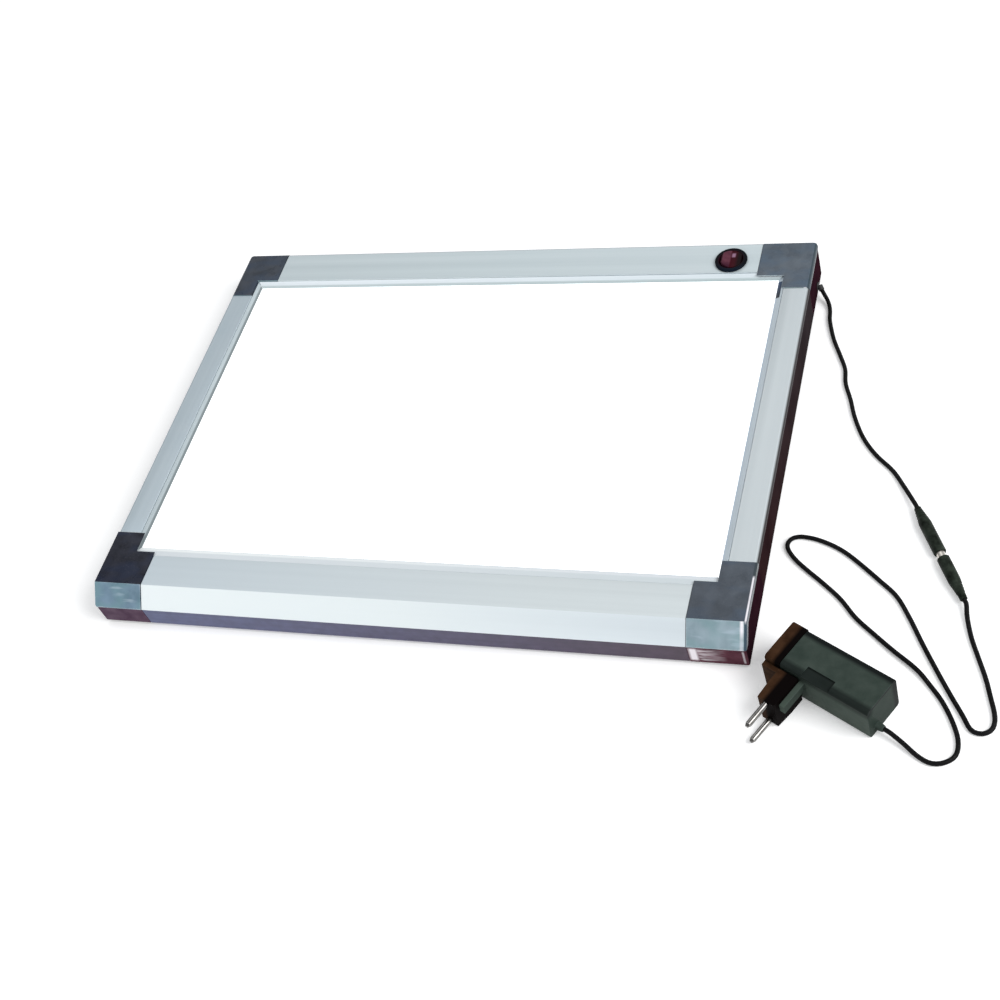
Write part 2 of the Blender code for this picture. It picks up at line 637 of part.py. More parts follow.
def front_cap_profiles():
    """Side views of a front cap: its outer band and the pocket under its skin, (inwards, up)."""
    slope = math.atan2(NOSE_DROP, NOSE_RUN)
    grade = math.tan(slope)

    def slope_line(depth, height):
        """Where the nose line, drawn in by depth, reaches a height."""
        return (height - NOSE_BOTTOM) / grade + depth / math.sin(slope)

    tip_top = NOSE_BOTTOM - slope_line(-CAP_PROUD, NOSE_BOTTOM) * grade
    side_low = LIP_BOTTOM
    skin_low = CAP_TOP - CAP_SKIN
    end = CAP_LEG_Y_FRONT
    band_depth = CAP_SIDE_DEPTH
    band = [(0, NOSE_BOTTOM), (0, tip_top), (slope_line(-CAP_PROUD, CAP_TOP), CAP_TOP), (end, CAP_TOP),
            (end, side_low), (slope_line(band_depth, side_low), side_low),
            (slope_line(band_depth, NOSE_BOTTOM), NOSE_BOTTOM)]
    inner = CAP_SKIN - CAP_PROUD
    low = NOSE_BOTTOM - OVERRUN
    far = end + OVERRUN
    pocket = [(slope_line(inner, low), low), (slope_line(inner, skin_low), skin_low),
              (far, skin_low), (far, low)]
    return band, pocket, side_low


def mirrored_x(outline, sign):
    return outline if sign > 0 else [(-x, y) for x, y in outline]


def cap_shell_front(name, corner):
    """Extruded side view, notched to an L, with its outer corner rounded."""
    sx, sy = corner_signs(corner)
    band, pocket, side_low = front_cap_profiles()
    matrix = side_matrix("front")
    outer, inner = sx * HALF_WIDTH, sx * (HALF_WIDTH - CAP_LEG_X_FRONT)
    shell = slab(name, [band], min(outer, inner), max(outer, inner), CAP_SLATE, matrix)
    edge, far = sx * (HALF_WIDTH - CAP_SKIN), sx * (HALF_WIDTH - CAP_LEG_X_FRONT - OVERRUN)
    cut(shell, slab("cap_pocket", [pocket], min(edge, far), max(edge, far), None, matrix))
    notch = corner_box(corner, BODY_BOTTOM, CAP_TOP + OVERRUN, CAP_LEG_X_FRONT + OVERRUN,
                       CAP_LEG_Y_FRONT + OVERRUN)
    shift = Vector((sx * (SIDE_FACE + CAP_LIP_SIDE_FRONT), sy * (FRONT_INSET + CAP_LIP_FRONT), 0))
    notch.location -= shift
    cut(shell, notch)
    r = CORNER_RADIUS_FRONT
    plan = [*arc((HALF_WIDTH - r, -HALF_DEPTH + r), r, -90, 0), (HALF_WIDTH, 0), (0, 0), (0, -HALF_DEPTH)]
    keep_inside(shell, slab("cap_plan", [mirrored_x(plan, sx)], BODY_BOTTOM, CAP_TOP + OVERRUN))
    return shell


def cap_shell_back(name, corner):
    """An L in plan with a rounded outer corner, hollowed from below."""
    sx, _ = corner_signs(corner)
    low = LIP_BOTTOM
    right, back = HALF_WIDTH, HALF_DEPTH
    r = CORNER_RADIUS_BACK
    in_x = right - SIDE_FACE - CAP_LIP_SIDE_BACK[corner[1]]
    in_y = back - BACK_FACE - CAP_LIP_BACK[corner[1]]
    leg_x, leg_y = right - corner_leg_x(corner), back - CAP_LEG_Y_BACK
    plan = [(right, leg_y), *arc((right - r, back - r), r, 0, 90), (leg_x, back), (leg_x, in_y),
            (in_x, in_y), (in_x, leg_y)]
    shell = slab(name, [mirrored_x(plan, sx)], low, CAP_TOP, CAP_SLATE)
    round_outer_rim(shell)
    skin = CAP_SKIN
    rim = r - skin
    over_x, over_y = leg_x - OVERRUN, leg_y - OVERRUN
    hollow = [(right - skin, over_y), *arc((right - r, back - r), rim, 0, 90), (over_x, back - skin),
              (over_x, over_y)]
    return cut(shell, slab("cap_pocket", [mirrored_x(hollow, sx)], low - OVERRUN, CAP_TOP - CAP_SKIN))


def round_outer_rim(shell):
    """Round the top edges that lie on the box's outer faces."""
    bm = bmesh.new()
    bm.from_mesh(shell.data)
    bmesh.ops.dissolve_limit(bm, angle_limit=math.radians(1), verts=bm.verts, edges=bm.edges)
    top = max(vert.co.z for vert in bm.verts)
    rim = []
    for edge in bm.edges:
        start, end = (vert.co for vert in edge.verts)
        middle = (start + end) / 2
        near_side = abs(middle.x) > HALF_WIDTH - CORNER_RADIUS_BACK
        near_back = middle.y > HALF_DEPTH - CORNER_RADIUS_BACK
        if min(start.z, end.z) > top - SEAT_GAP and (near_side or near_back):
            rim.append(edge)
    bmesh.ops.bevel(bm, geom=rim, offset=CAP_EDGE_RADIUS, segments=CAP_EDGE_STEPS, profile=0.5,
                    affect="EDGES")
    bm.to_mesh(shell.data)
    bm.free()


def make_caps():
    """Corner caps: a thin L skin with keys that plug into the rails' chambers."""
    for corner in CORNERS:
        name = "corner_cap_" + "_".join(corner)
        at_front = corner[0] == "front"
        shell = cap_shell_front(name, corner) if at_front else cap_shell_back(name, corner)
        face_y = FRONT_INSET if at_front else BACK_FACE
        leg_x, leg = corner_leg_x(corner), corner_leg_y(corner)
        sx, sy = corner_signs(corner)
        relief = corner_box(corner, BODY_BOTTOM, BEAD_TOP + SEAT_GAP, leg_x + OVERRUN, leg + OVERRUN)
        relief.location -= Vector((sx * SIDE_FACE, sy * face_y, 0))
        cut(shell, relief)
        join(shell, corner_key(corner, face_y, leg))
        x, y = boss_place(corner)
        cut(shell, rod("key_bore", (x, y, BODY_BOTTOM), (x, y, screw_top_in_key() + OVERRUN),
                       SCREW_SHANK_RADIUS + SEAT_GAP))


def screw_top_in_key():
    return CHAMBER_BOTTOM + RAIL_WALL + SEAT_GAP + CORNER_SCREW_BITE


def corner_key(corner, face_y, leg):
    """An L-shaped key, part of it under the cap's skin and its two ends in the rails' chambers."""
    at_front = corner[0] == "front"
    sx, sy = corner_signs(corner)
    low = (NOSE_BOTTOM if at_front else CHAMBER_BOTTOM) + RAIL_WALL + SEAT_GAP
    high = RAIL_TOP - RAIL_WALL - SEAT_GAP
    start_x = CHAMBER_INSET + RAIL_WALL + SEAT_GAP
    start_y = NOSE_RUN + RAIL_WALL if at_front else start_x
    end_x, end_y = SIDE_FACE - RAIL_WALL - SEAT_GAP, face_y - RAIL_WALL - SEAT_GAP
    far_x, far_y = corner_leg_x(corner) + KEY_REACH, leg + KEY_REACH
    insets = [(start_x, start_y), (far_x, start_y), (far_x, end_y),
              (end_x, end_y), (end_x, far_y), (start_x, far_y)]
    plan = [(sx * (HALF_WIDTH - u), sy * (HALF_DEPTH - v)) for u, v in insets]
    key = slab("corner_key", [plan], low, high)
    inset = KEY_RISER_INSET
    return join(key, offset_box(corner, start_x + inset, end_x - inset, start_y + inset, end_y - inset,
                                high - inset, CAP_TOP - CAP_SKIN / 2, "key_riser"))


def offset_box(corner, x0, x1, y0, y1, low, high, name):
    """A block given by its distances in from the box's outer faces at a corner."""
    sx, sy = corner_signs(corner)
    xs = sorted((sx * (HALF_WIDTH - x0), sx * (HALF_WIDTH - x1)))
    ys = sorted((sy * (HALF_DEPTH - y0), sy * (HALF_DEPTH - y1)))
    return box(name, (xs[0], ys[0], low), (xs[1], ys[1], high))


def make_boots():
    """Corner boots: rounded walls under the caps, a turned-in foot and a screw boss on ribs."""
    for corner in CORNERS:
        name = "corner_boot_" + "_".join(corner)
        sx, sy = corner_signs(corner)
        leg_x, leg = corner_leg_x(corner), corner_leg_y(corner)
        top = LIP_BOTTOM - SEAT_GAP
        foot_top = BODY_BOTTOM + SKIRT_FOOT_THICKNESS
        boot = slab(name, [plan_outline(SKIRT_SET_BACK)], BODY_BOTTOM, top, BOOT_MAROON)
        keep_inside(boot, corner_box(corner, BODY_BOTTOM - OVERRUN, top + OVERRUN, leg_x, leg, -OVERRUN))
        cut(boot, slab("boot_pocket", [plan_outline(SKIRT_INNER)], foot_top, top + OVERRUN))
        past = BOOT_FOOT_PAST_SCREW
        cut(boot, offset_box(corner, BOSS_INSET + past, leg_x + OVERRUN, boss_inset(corner) + past,
                             leg + OVERRUN, BODY_BOTTOM - OVERRUN, foot_top + OVERRUN, "foot_window"))
        if corner[0] == "front":
            cut(boot, nose_clearance(sx))
        add_boss(boot, corner)
        if corner == ("back", "right"):
            wall = HALF_WIDTH - SKIRT_INNER
            gland_y = HALF_DEPTH - GLAND_FROM_BACK
            cut(boot, rod("gland_bore", (wall - OVERRUN, gland_y, GLAND_HEIGHT),
                          (HALF_WIDTH + OVERRUN, gland_y, GLAND_HEIGHT), GLAND_BODY_RADIUS + SEAT_GAP))


def add_boss(boot, corner):
    """Screw boss over the base plate, held by two ribs from the boot's walls."""
    sx, sy = corner_signs(corner)
    x, y = boss_place(corner)
    boss_top = CHAMBER_BOTTOM + RAIL_WALL - SEAT_GAP
    half = BOSS_RIB_THICKNESS / 2
    rib_top = NOSE_BOTTOM - CAP_SIDE_DEPTH
    wall_x = sx * (HALF_WIDTH - SKIRT_INNER + SKIRT_WALL / 2)
    wall_y = sy * (HALF_DEPTH - SKIRT_INNER + SKIRT_WALL / 2)
    boss = rod("boss", (x, y, FLANGE_BOTTOM), (x, y, boss_top), BOSS_RADIUS, segments=ROUND_SEGMENTS)
    low = FLANGE_BOTTOM + SEAT_GAP
    join(boss, box("boss_rib", (min(x, wall_x), y - half, low), (max(x, wall_x), y + half, rib_top)))
    join(boss, box("boss_rib", (x - half, min(y, wall_y), low),
                   (x + half, max(y, wall_y), rib_top - SEAT_GAP)))
    join(boot, boss)
    cut(boot, *screw_bores([(x, y)], boss_top + OVERRUN))


def nose_clearance(sx):
    """What a front boot leaves free for the cap's nose and its side return."""
    slope = math.atan2(NOSE_DROP, NOSE_RUN)
    grade = math.tan(slope)
    low = NOSE_BOTTOM - SEAT_GAP
    depth = (CAP_SIDE_DEPTH + SEAT_GAP) / math.sin(slope)
    high = RAIL_TOP + OVERRUN
    outline = [(-OVERRUN, low), (depth, low), (depth + (high - low) / grade, high), (-OVERRUN, high)]
    reach = HALF_WIDTH + OVERRUN
    return slab("nose_clearance", [outline], min(0, sx * reach), max(0, sx * reach), None,
                side_matrix("front"))


def make_base():
    plate = slab("base_plate", [plan_outline(BASE_INSET)], BASE_BOTTOM, BASE_TOP, BASE_PAINT)
    cut(plate, *screw_bores(mid_screw_places() + corner_screw_places(), BASE_TOP + OVERRUN))
    index = 0
    for sy in (-1, 1):
        for sx in (-1, 1):
            index += 1
            x, y = sx * (HALF_WIDTH - FOOT_INSET_X), sy * (HALF_DEPTH - FOOT_INSET_Y)
            rod("foot_%d" % index, (x, y, 0), (x, y, BASE_BOTTOM - SEAT_GAP), FOOT_RADIUS - FOOT_TAPER,
                RUBBER, FOOT_RADIUS, ROUND_SEGMENTS)


def make_screws():
    places = [(p, FLANGE_TOP + SCREW_THREAD_PAST) for p in mid_screw_places()]
    places += [(p, screw_top_in_key()) for p in corner_screw_places()]
    for index, ((x, y), top) in enumerate(places, 1):
        head_top = BODY_BOTTOM - SEAT_GAP
        head_bottom = head_top - SCREW_HEAD_HEIGHT
        screw = rod("base_screw_%d" % index, (x, y, head_bottom), (x, y, head_top), SCREW_HEAD_RADIUS, ZINC)
        join(screw, rod("shank", (x, y, head_top - SCREW_HEAD_HEIGHT / 2), (x, y, top), SCREW_SHANK_RADIUS))
        reach = SCREW_HEAD_RADIUS + OVERRUN
        half = SCREW_SLOT_WIDTH / 2
        cut(screw, box("slot", (x - reach, y - half, head_bottom - OVERRUN),
                       (x + reach, y + half, head_bottom + SCREW_SLOT_DEPTH)))


def make_panel():
    x = HALF_WIDTH - SIDE_FACE - PANEL_EDGE_GAP
    front = -HALF_DEPTH + FRONT_INSET + PANEL_EDGE_GAP
    back = HALF_DEPTH - BACK_FACE - PANEL_EDGE_GAP
    box("opal_panel", (-x, front, PANEL_BOTTOM), (x, back, PANEL_TOP), OPAL)


def lit_middle():
    """Middle of the space between the front and back webs."""
    return ((-HALF_DEPTH + FRONT_INSET) + (HALF_DEPTH - BACK_FACE)) / 2


def make_light_source():
    x = HALF_WIDTH - SIDE_FACE - REFLECTOR_MARGIN
    front = -HALF_DEPTH + FRONT_INSET + REFLECTOR_MARGIN
    back = HALF_DEPTH - BACK_FACE - REFLECTOR_MARGIN
    film_top = FLANGE_BOTTOM + REFLECTOR_THICKNESS
    box("reflector_sheet", (-x, front, FLANGE_BOTTOM), (x, back, film_top), WHITE_FILM)
    low = film_top + SEAT_GAP
    high = low + LED_BAR_THICKNESS
    half_l, half_w, half_c = LED_BAR_LENGTH / 2, LED_BAR_WIDTH / 2, LED_CHIP_SIZE / 2
    for index in range(LED_BAR_COUNT):
        y = lit_middle() + (index - (LED_BAR_COUNT - 1) / 2) * LED_BAR_PITCH
        name = "led_bar_%d" % (index + 1)
        bar = box(name, (-half_l, y - half_w, low), (half_l, y + half_w, high), BOARD_WHITE)
        start = -(LED_CHIP_COUNT - 1) / 2 * LED_CHIP_PITCH
        chip = box("led_chip", (start - half_c, y - half_c, high - LED_CHIP_SINK),
                   (start + half_c, y + half_c, high + LED_CHIP_HEIGHT))
        row = chip.modifiers.new("row", "ARRAY")
        row.count = LED_CHIP_COUNT
        row.use_relative_offset = False
        row.use_constant_offset = True
        row.constant_offset_displace = (LED_CHIP_PITCH, 0, 0)
        join(bar, chip)
    bus_x = half_l - BUS_END_MARGIN
    reach = (LED_BAR_COUNT - 1) / 2 * LED_BAR_PITCH + half_w + BUS_OVERHANG
    bus_low = high + SEAT_GAP
    box("led_bus_strip", (bus_x - BUS_WIDTH, lit_middle() - reach, bus_low),
        (bus_x, lit_middle() + reach, bus_low + BUS_THICKNESS), BOARD_WHITE)


def switch_seat():
    return Vector((SWITCH_X, HALF_DEPTH - SWITCH_INSET, RAIL_TOP + SEAT_GAP))


def rocker_pivot():
    return switch_seat() + Vector((0, 0, SWITCH_FLANGE_HEIGHT - ROCKER_PIVOT_DEPTH))


def make_switch():
    seat = switch_seat()
    top, flange, barrel = SWITCH_FLANGE_HEIGHT, SWITCH_FLANGE_RADIUS, SWITCH_BARREL_RADIUS
    mouth, edge = SWITCH_MOUTH_RADIUS, SWITCH_EDGE_ROUND
    bottom = -SWITCH_BARREL_DEPTH
    rim = arc((flange - edge, top - edge), edge, 90, 0, CORNER_SEGMENTS // 2)
    profile = [(0, top - SWITCH_WELL_DEPTH), (mouth, top - SWITCH_WELL_DEPTH), (mouth, top - edge / 2),
               (mouth + edge / 2, top), *rim, (flange, 0), (barrel, 0), (barrel, bottom), (0, bottom)]
    housing = turned("switch_housing", profile, Matrix.Translation(seat), SWITCH_BLACK)
    pivot = rocker_pivot()
    across = barrel + OVERRUN
    cut(housing, rod("trunnion_bore", pivot - Vector((0, across, 0)), pivot + Vector((0, across, 0)),
                     TRUNNION_RADIUS + TRUNNION_CLEARANCE, segments=ROUND_SEGMENTS))
    terminal_top = seat.z + bottom - SEAT_GAP
    for index, sx in enumerate((-1, 1), 1):
        x = seat.x + sx * TERMINAL_SPACING / 2
        half_t, half_w = TERMINAL_THICKNESS / 2, TERMINAL_WIDTH / 2
        box("switch_terminal_%d" % index, (x - half_t, seat.y - half_w, terminal_top - TERMINAL_LENGTH),
            (x + half_t, seat.y + half_w, terminal_top), BRASS)


def make_rocker():
    """Round rocker with a shallow V top, tipped to its pressed side, on two trunnions along Y."""
    pivot = rocker_pivot()
    tip = Matrix.Rotation(ROCKER_HALF_THROW, 4, "Y")
    plan, sweep = ROCKER_PLAN_RADIUS, ROCKER_SWEEP_RADIUS
    rise = ROCKER_MIDDLE_RISE + plan * math.tan(ROCKER_HALF_THROW)
    side_view = [(-plan, rise), (0, ROCKER_MIDDLE_RISE), (plan, rise), (plan, -ROCKER_BELOW_PIVOT),
                 (-plan, -ROCKER_BELOW_PIVOT)]
    stand = Matrix.Rotation(math.radians(90), 4, "X")
    matrix = Matrix.Translation(pivot) @ tip
    rocker = slab("switch_rocker", [side_view], -plan, plan, ROCKER_RED, stand)
    rocker.data.transform(rocker.matrix_world)
    rocker.matrix_world = matrix
    top, bottom = matrix @ Vector((0, 0, 2 * rise)), matrix @ Vector((0, 0, -2 * rise))
    keep_inside(rocker, rod("rocker_plan", bottom, top, plan, segments=2 * ROUND_SEGMENTS))
    half = Vector((0, plan + OVERRUN, 0))
    keep_inside(rocker, rod("rocker_sweep", pivot - half, pivot + half, sweep, segments=2 * ROUND_SEGMENTS))
    reach = SWITCH_BARREL_RADIUS - SEAT_GAP / 2
    for sy in (-1, 1):
        join(rocker, rod("trunnion", pivot + Vector((0, sy * (plan - TRUNNION_OVERLAP), 0)),
                         pivot + Vector((0, sy * reach, 0)), TRUNNION_RADIUS, segments=ROUND_SEGMENTS))


def board_ends():
    right = SWITCH_X - BOARD_GAP_TO_SWITCH
    return right - BOARD_LENGTH, right


def feed_hole():
    """Where the feed wire passes the back rail's web: x and height."""
    board_top = FLANGE_TOP + SEAT_GAP + BOARD_THICKNESS
    return board_ends()[1] - BOARD_BLOCK_LENGTH / 2, board_top + BOARD_BLOCK_HEIGHT / 2


def board_middle():
    return HALF_DEPTH - SWITCH_INSET


def make_board():
    left, right = board_ends()
    y = board_middle()
    low = FLANGE_TOP + SEAT_GAP
    high = low + BOARD_THICKNESS
    half = BOARD_WIDTH / 2
    board = box("connection_board", (left, y - half, low), (right, y + half, high), BOARD_GREEN)
    sunk = high - PART_SINK
    join(board, box("terminal_block", (right - BOARD_BLOCK_LENGTH, y - BOARD_BLOCK_WIDTH / 2, sunk),
                    (right, y + BOARD_BLOCK_WIDTH / 2, high + BOARD_BLOCK_HEIGHT)))
    choke = BOARD_CHOKE_SIZE / 2
    choke_x = left + BOARD_LENGTH / 2
    join(board, box("choke", (choke_x - choke, y - choke, sunk),
                    (choke_x + choke, y + choke, high + BOARD_CHOKE_HEIGHT)))
    can_x = left + BOARD_LENGTH * BOARD_CAN_SHARE
    join(board, rod("capacitor", (can_x, y, sunk), (can_x, y, high + BOARD_CAN_HEIGHT), BOARD_CAN_RADIUS))


def smooth_route(points, count, start_run=None, end_run=None):
    """Even points along a Catmull-Rom curve through hand-chosen points."""
    points = [Vector(p) for p in points]
    padded = [2 * points[0] - points[1], *points, 2 * points[-1] - points[-2]]
    fine = []
    steps = 12
    for k in range(1, len(padded) - 2):
        a, b, c, d = padded[k - 1:k + 3]
        for j in range(steps):
            t = j / steps
            fine.append(0.5 * ((2 * b) + (c - a) * t + (2 * a - 5 * b + 4 * c - d) * t * t
                               + (3 * b - a - 3 * c + d) * t * t * t))
    fine.append(points[-1])
    lengths = [0.0]
    for a, b in zip(fine, fine[1:]):
        lengths.append(lengths[-1] + (b - a).length)
    out, k = [], 0
    for j in range(count):
        want = lengths[-1] * j / (count - 1)
        while k < len(fine) - 2 and lengths[k + 1] < want:
            k += 1
        share = (want - lengths[k]) / (lengths[k + 1] - lengths[k])
        out.append(fine[k].lerp(fine[k + 1], share))
    return out, lengths[-1]


def lead(name, points, radius, finish):
    """A round cord through the given points, its ends cut square and filled."""
    curve = bpy.data.curves.new(name, "CURVE")
    curve.dimensions = "3D"
    curve.bevel_depth = radius
    curve.bevel_resolution = 2
    curve.use_fill_caps = True
    spline = curve.splines.new("POLY")
    spline.points.add(len(points) - 1)
    for target, point in zip(spline.points, points):
        target.co = (*point, 1)
    obj = bpy.data.objects.new(name, curve)
    CUTTERS.objects.link(obj)
    return curve_to_mesh(obj, name, finish)


def gland_direction():
    turn = Matrix.Rotation(-GLAND_TURN, 3, "Z")
    dip = Matrix.Rotation(GLAND_DIP, 3, "Y")
    return turn @ dip @ Vector((1, 0, 0))


def gland_face():
    return Vector((HALF_WIDTH - SKIRT_SET_BACK + SEAT_GAP, HALF_DEPTH - GLAND_FROM_BACK, GLAND_HEIGHT))


def make_gland():
    """Rubber gland in the back right boot, its outer end turned forwards."""
    face = gland_face()
    inner = face - Vector((SKIRT_WALL + 2 * SEAT_GAP, 0, 0))
    outer = face + Vector((GLAND_FLANGE_THICKNESS / 2, 0, 0))
    gland = rod("cord_gland", inner, outer, GLAND_BODY_RADIUS, RUBBER)
    flange_end = face + Vector((GLAND_FLANGE_THICKNESS, 0, 0))
    join(gland, rod("gland_flange", face, flange_end, GLAND_FLANGE_RADIUS))
    root = face + Vector((GLAND_FLANGE_THICKNESS / 2 + GLAND_BODY_RADIUS / 2, 0, 0))
    join(gland, rod("gland_nozzle", root, nozzle_tip(), GLAND_BODY_RADIUS, None, GLAND_NOZZLE_TIP_RADIUS))


def nozzle_tip():
    root = gland_face() + Vector((GLAND_FLANGE_THICKNESS / 2 + GLAND_BODY_RADIUS / 2, 0, 0))
    return root + gland_direction() * GLAND_NOZZLE_LENGTH


def joint_heading():
    return Vector((math.cos(JOINT_HEADING), math.sin(JOINT_HEADING), 0))


def beside_box(place):
    """A point whose x is measured from the box's right side."""
    return Vector(place) + Vector((HALF_WIDTH, 0, 0))


def joint_point(distance):
    """A point on the inline connector's axis, which lies a radius above the floor."""
    return beside_box(JOINT_START) + joint_heading() * distance + Vector((0, 0, SOCKET_RADIUS))


def along_joint(distance, reverse=False):
    """A frame with local Z on the connector's axis."""
    heading = joint_heading() * (-1 if reverse else 1)
    turn = Vector((0, 0, 1)).rotation_difference(heading).to_matrix().to_4x4()
    return Matrix.Translation(joint_point(distance)) @ turn


def ribbed_tail(root_radius, tip_radius, start, length):
    """Profile points of a tapered strain relief with grip ribs, tip last, heights falling from start."""
    points = [(root_radius, start)]
    for k in range(GRIP_RIB_COUNT):
        height = start - length * GRIP_RIB_START_SHARE - k * GRIP_RIB_PITCH
        radius = root_radius + (tip_radius - root_radius) * (start - height) / length
        points += [(radius, height), (radius - GRIP_RIB_DEPTH, height - GRIP_RIB_PITCH / 4),
                   (radius - GRIP_RIB_DEPTH, height - GRIP_RIB_PITCH / 2)]
    points += [(tip_radius, start - length + GRIP_RIB_DEPTH), (tip_radius, start - length)]
    return points


def make_inline_joint():
    """Socket on the box lead, plug on the adapter lead, and the metal barrel between them."""
    radius, edge = SOCKET_RADIUS, GRIP_RIB_DEPTH
    bore = BARREL_RADIUS + SEAT_GAP
    tail = ribbed_tail(radius, SOCKET_TAIL_RADIUS, SOCKET_TAIL_LENGTH, SOCKET_TAIL_LENGTH)
    profile = [(0, SOCKET_LENGTH - SOCKET_BORE_DEPTH), (bore, SOCKET_LENGTH - SOCKET_BORE_DEPTH),
               (bore, SOCKET_LENGTH), (radius - edge, SOCKET_LENGTH), (radius, SOCKET_LENGTH - edge),
               *tail, (0, 0)]
    turned("inline_socket", profile, along_joint(0), LEAD_BLACK, SMALL_ROUND_SEGMENTS)
    face = SOCKET_LENGTH + BARREL_SHOWN
    tip = face + SEAT_GAP - SOCKET_LENGTH + BARREL_INSERTED
    bottom = tip - BARREL_INSERTED
    barrel = [(0, bottom), (BARREL_BORE_RADIUS, bottom), (BARREL_BORE_RADIUS, tip), (BARREL_RADIUS, tip),
              (BARREL_RADIUS, 0), (0, 0)]
    turned("plug_barrel", barrel, along_joint(face, True), NICKEL, SMALL_ROUND_SEGMENTS)
    back = face + SEAT_GAP
    tail = ribbed_tail(PLUG_RADIUS, PLUG_TAIL_RADIUS, PLUG_TAIL_LENGTH - PLUG_LENGTH, PLUG_TAIL_LENGTH)
    profile = [(0, 0), (PLUG_RADIUS - edge, 0), (PLUG_RADIUS, -edge), *tail, (0, -PLUG_LENGTH)]
    turned("inline_plug", profile, along_joint(back, True), LEAD_BLACK, SMALL_ROUND_SEGMENTS)


def plug_end():
    return SOCKET_LENGTH + BARREL_SHOWN + SEAT_GAP + PLUG_LENGTH


def adapter_matrix():
    """Local X runs from the plug end to the lead, local Y towards the pins' side is minus, Z is up."""
    return Matrix.Translation(beside_box(ADAPTER_CORNER)) @ Matrix.Rotation(ADAPTER_HEADING, 4, "Z")


def rounded_block(low, high, edge):
    """Section of a block with its four long edges rounded, as (across, up) points."""
    (y0, z0), (y1, z1) = low, high
    turns = CORNER_SEGMENTS // 2
    return (arc((y1 - edge, z0 + edge), edge, -90, 0, turns)
            + arc((y1 - edge, z1 - edge), edge, 0, 90, turns)
            + arc((y0 + edge, z1 - edge), edge, 90, 180, turns)
            + arc((y0 + edge, z0 + edge), edge, 180, 270, turns))


def make_adapter():
    place = adapter_matrix()
    lengthwise = place @ Matrix(((0, 0, 1, 0), (1, 0, 0, 0), (0, 1, 0, 0), (0, 0, 0, 1)))
    edge, height, thick = ADAPTER_EDGE, ADAPTER_HEIGHT, ADAPTER_THICKNESS
    seam = COVER_LENGTH + SEAT_GAP
    section = rounded_block((-height + COVER_PROUD, 0), (-COVER_PROUD, thick - COVER_PROUD), edge)
    body = slab("adapter_body", [section], seam, ADAPTER_LENGTH, ADAPTER_GREY, lengthwise)
    pocket = box("grip_pocket",
                 (GRIP_POCKET_START, -height - OVERRUN, thick - COVER_PROUD - GRIP_POCKET_DEPTH),
                 (GRIP_POCKET_START + GRIP_POCKET_LENGTH, -height + GRIP_POCKET_HEIGHT, thick + OVERRUN))
    pocket.matrix_world = place @ pocket.matrix_world
    cut(body, pocket)
    shoulder_start = NOSE_START + NOSE_WIDTH + SEAT_GAP
    shoulder = box("shoulder", (shoulder_start, -height - SHOULDER_LENGTH, SHOULDER_LOW),
                   (shoulder_start + SHOULDER_WIDTH, -height + edge, SHOULDER_HIGH))
    shoulder.matrix_world = place @ shoulder.matrix_world
    join(body, shoulder)
    sleeve_root = place @ Vector((ADAPTER_LENGTH - PART_SINK, -EXIT_ACROSS, EXIT_HEIGHT))
    join(body, rod("lead_sleeve", sleeve_root, sleeve_tip(), SLEEVE_ROOT_RADIUS, None, SLEEVE_TIP_RADIUS))
    cover_section = rounded_block((-height, 0), (0, thick), edge)
    cover = slab("adapter_cover", [cover_section], 0, COVER_LENGTH, COVER_BROWN, lengthwise)
    make_nose(cover, place)
    for index, sz in enumerate((-1, 1), 1):
        x, z = NOSE_START + NOSE_WIDTH / 2, NOSE_MIDDLE + sz * PIN_SPACING / 2
        start = place @ Vector((x, -height - NOSE_LENGTH - SEAT_GAP, z))
        shank_end = place @ Vector((x, -height - NOSE_LENGTH - PIN_LENGTH + PIN_TIP_LENGTH, z))
        tip = place @ Vector((x, -height - NOSE_LENGTH - PIN_LENGTH, z))
        pin = rod("adapter_pin_%d" % index, start, shank_end, PIN_RADIUS, NICKEL)
        inside = shank_end.lerp(start, PART_SINK / PIN_LENGTH)
        cone = rod("pin_tip", inside, tip, PIN_RADIUS, None, PIN_RADIUS / 2)
        join(pin, cone)


def make_nose(cover, place):
    """Plug nose on the cover: a block that narrows to the pins, with an arm to the cover."""
    left, right = NOSE_START, NOSE_START + NOSE_WIDTH
    root = -ADAPTER_HEIGHT - SEAT_GAP
    end = -ADAPTER_HEIGHT - NOSE_LENGTH
    bend = end + NOSE_LENGTH / 2
    taper = NOSE_WIDTH / 2 * (1 - NOSE_TAPER_SHARE)
    low, high = NOSE_MIDDLE - NOSE_DEPTH / 2, NOSE_MIDDLE + NOSE_DEPTH / 2
    outline = [(left, root), (left, bend), (left + taper, end),
               (right - taper, end), (right, bend), (right, root)]
    nose = slab("nose", [outline], low, high, None, place)
    arm = box("nose_arm", (SEAT_GAP, root - COVER_ARM_LENGTH, low + SEAT_GAP),
              (left + ADAPTER_EDGE, root, high - SEAT_GAP))
    arm.matrix_world = place @ arm.matrix_world
    bridge = box("nose_bridge", (COVER_LENGTH / 2, root - COVER_ARM_LENGTH / 2, low + ADAPTER_EDGE),
                 (COVER_LENGTH - SEAT_GAP, -ADAPTER_HEIGHT + ADAPTER_EDGE, high - ADAPTER_EDGE))
    bridge.matrix_world = place @ bridge.matrix_world
    join(cover, arm, bridge, nose)


def sleeve_tip():
    return adapter_matrix() @ Vector((ADAPTER_LENGTH + SLEEVE_LENGTH, -EXIT_ACROSS, EXIT_HEIGHT))


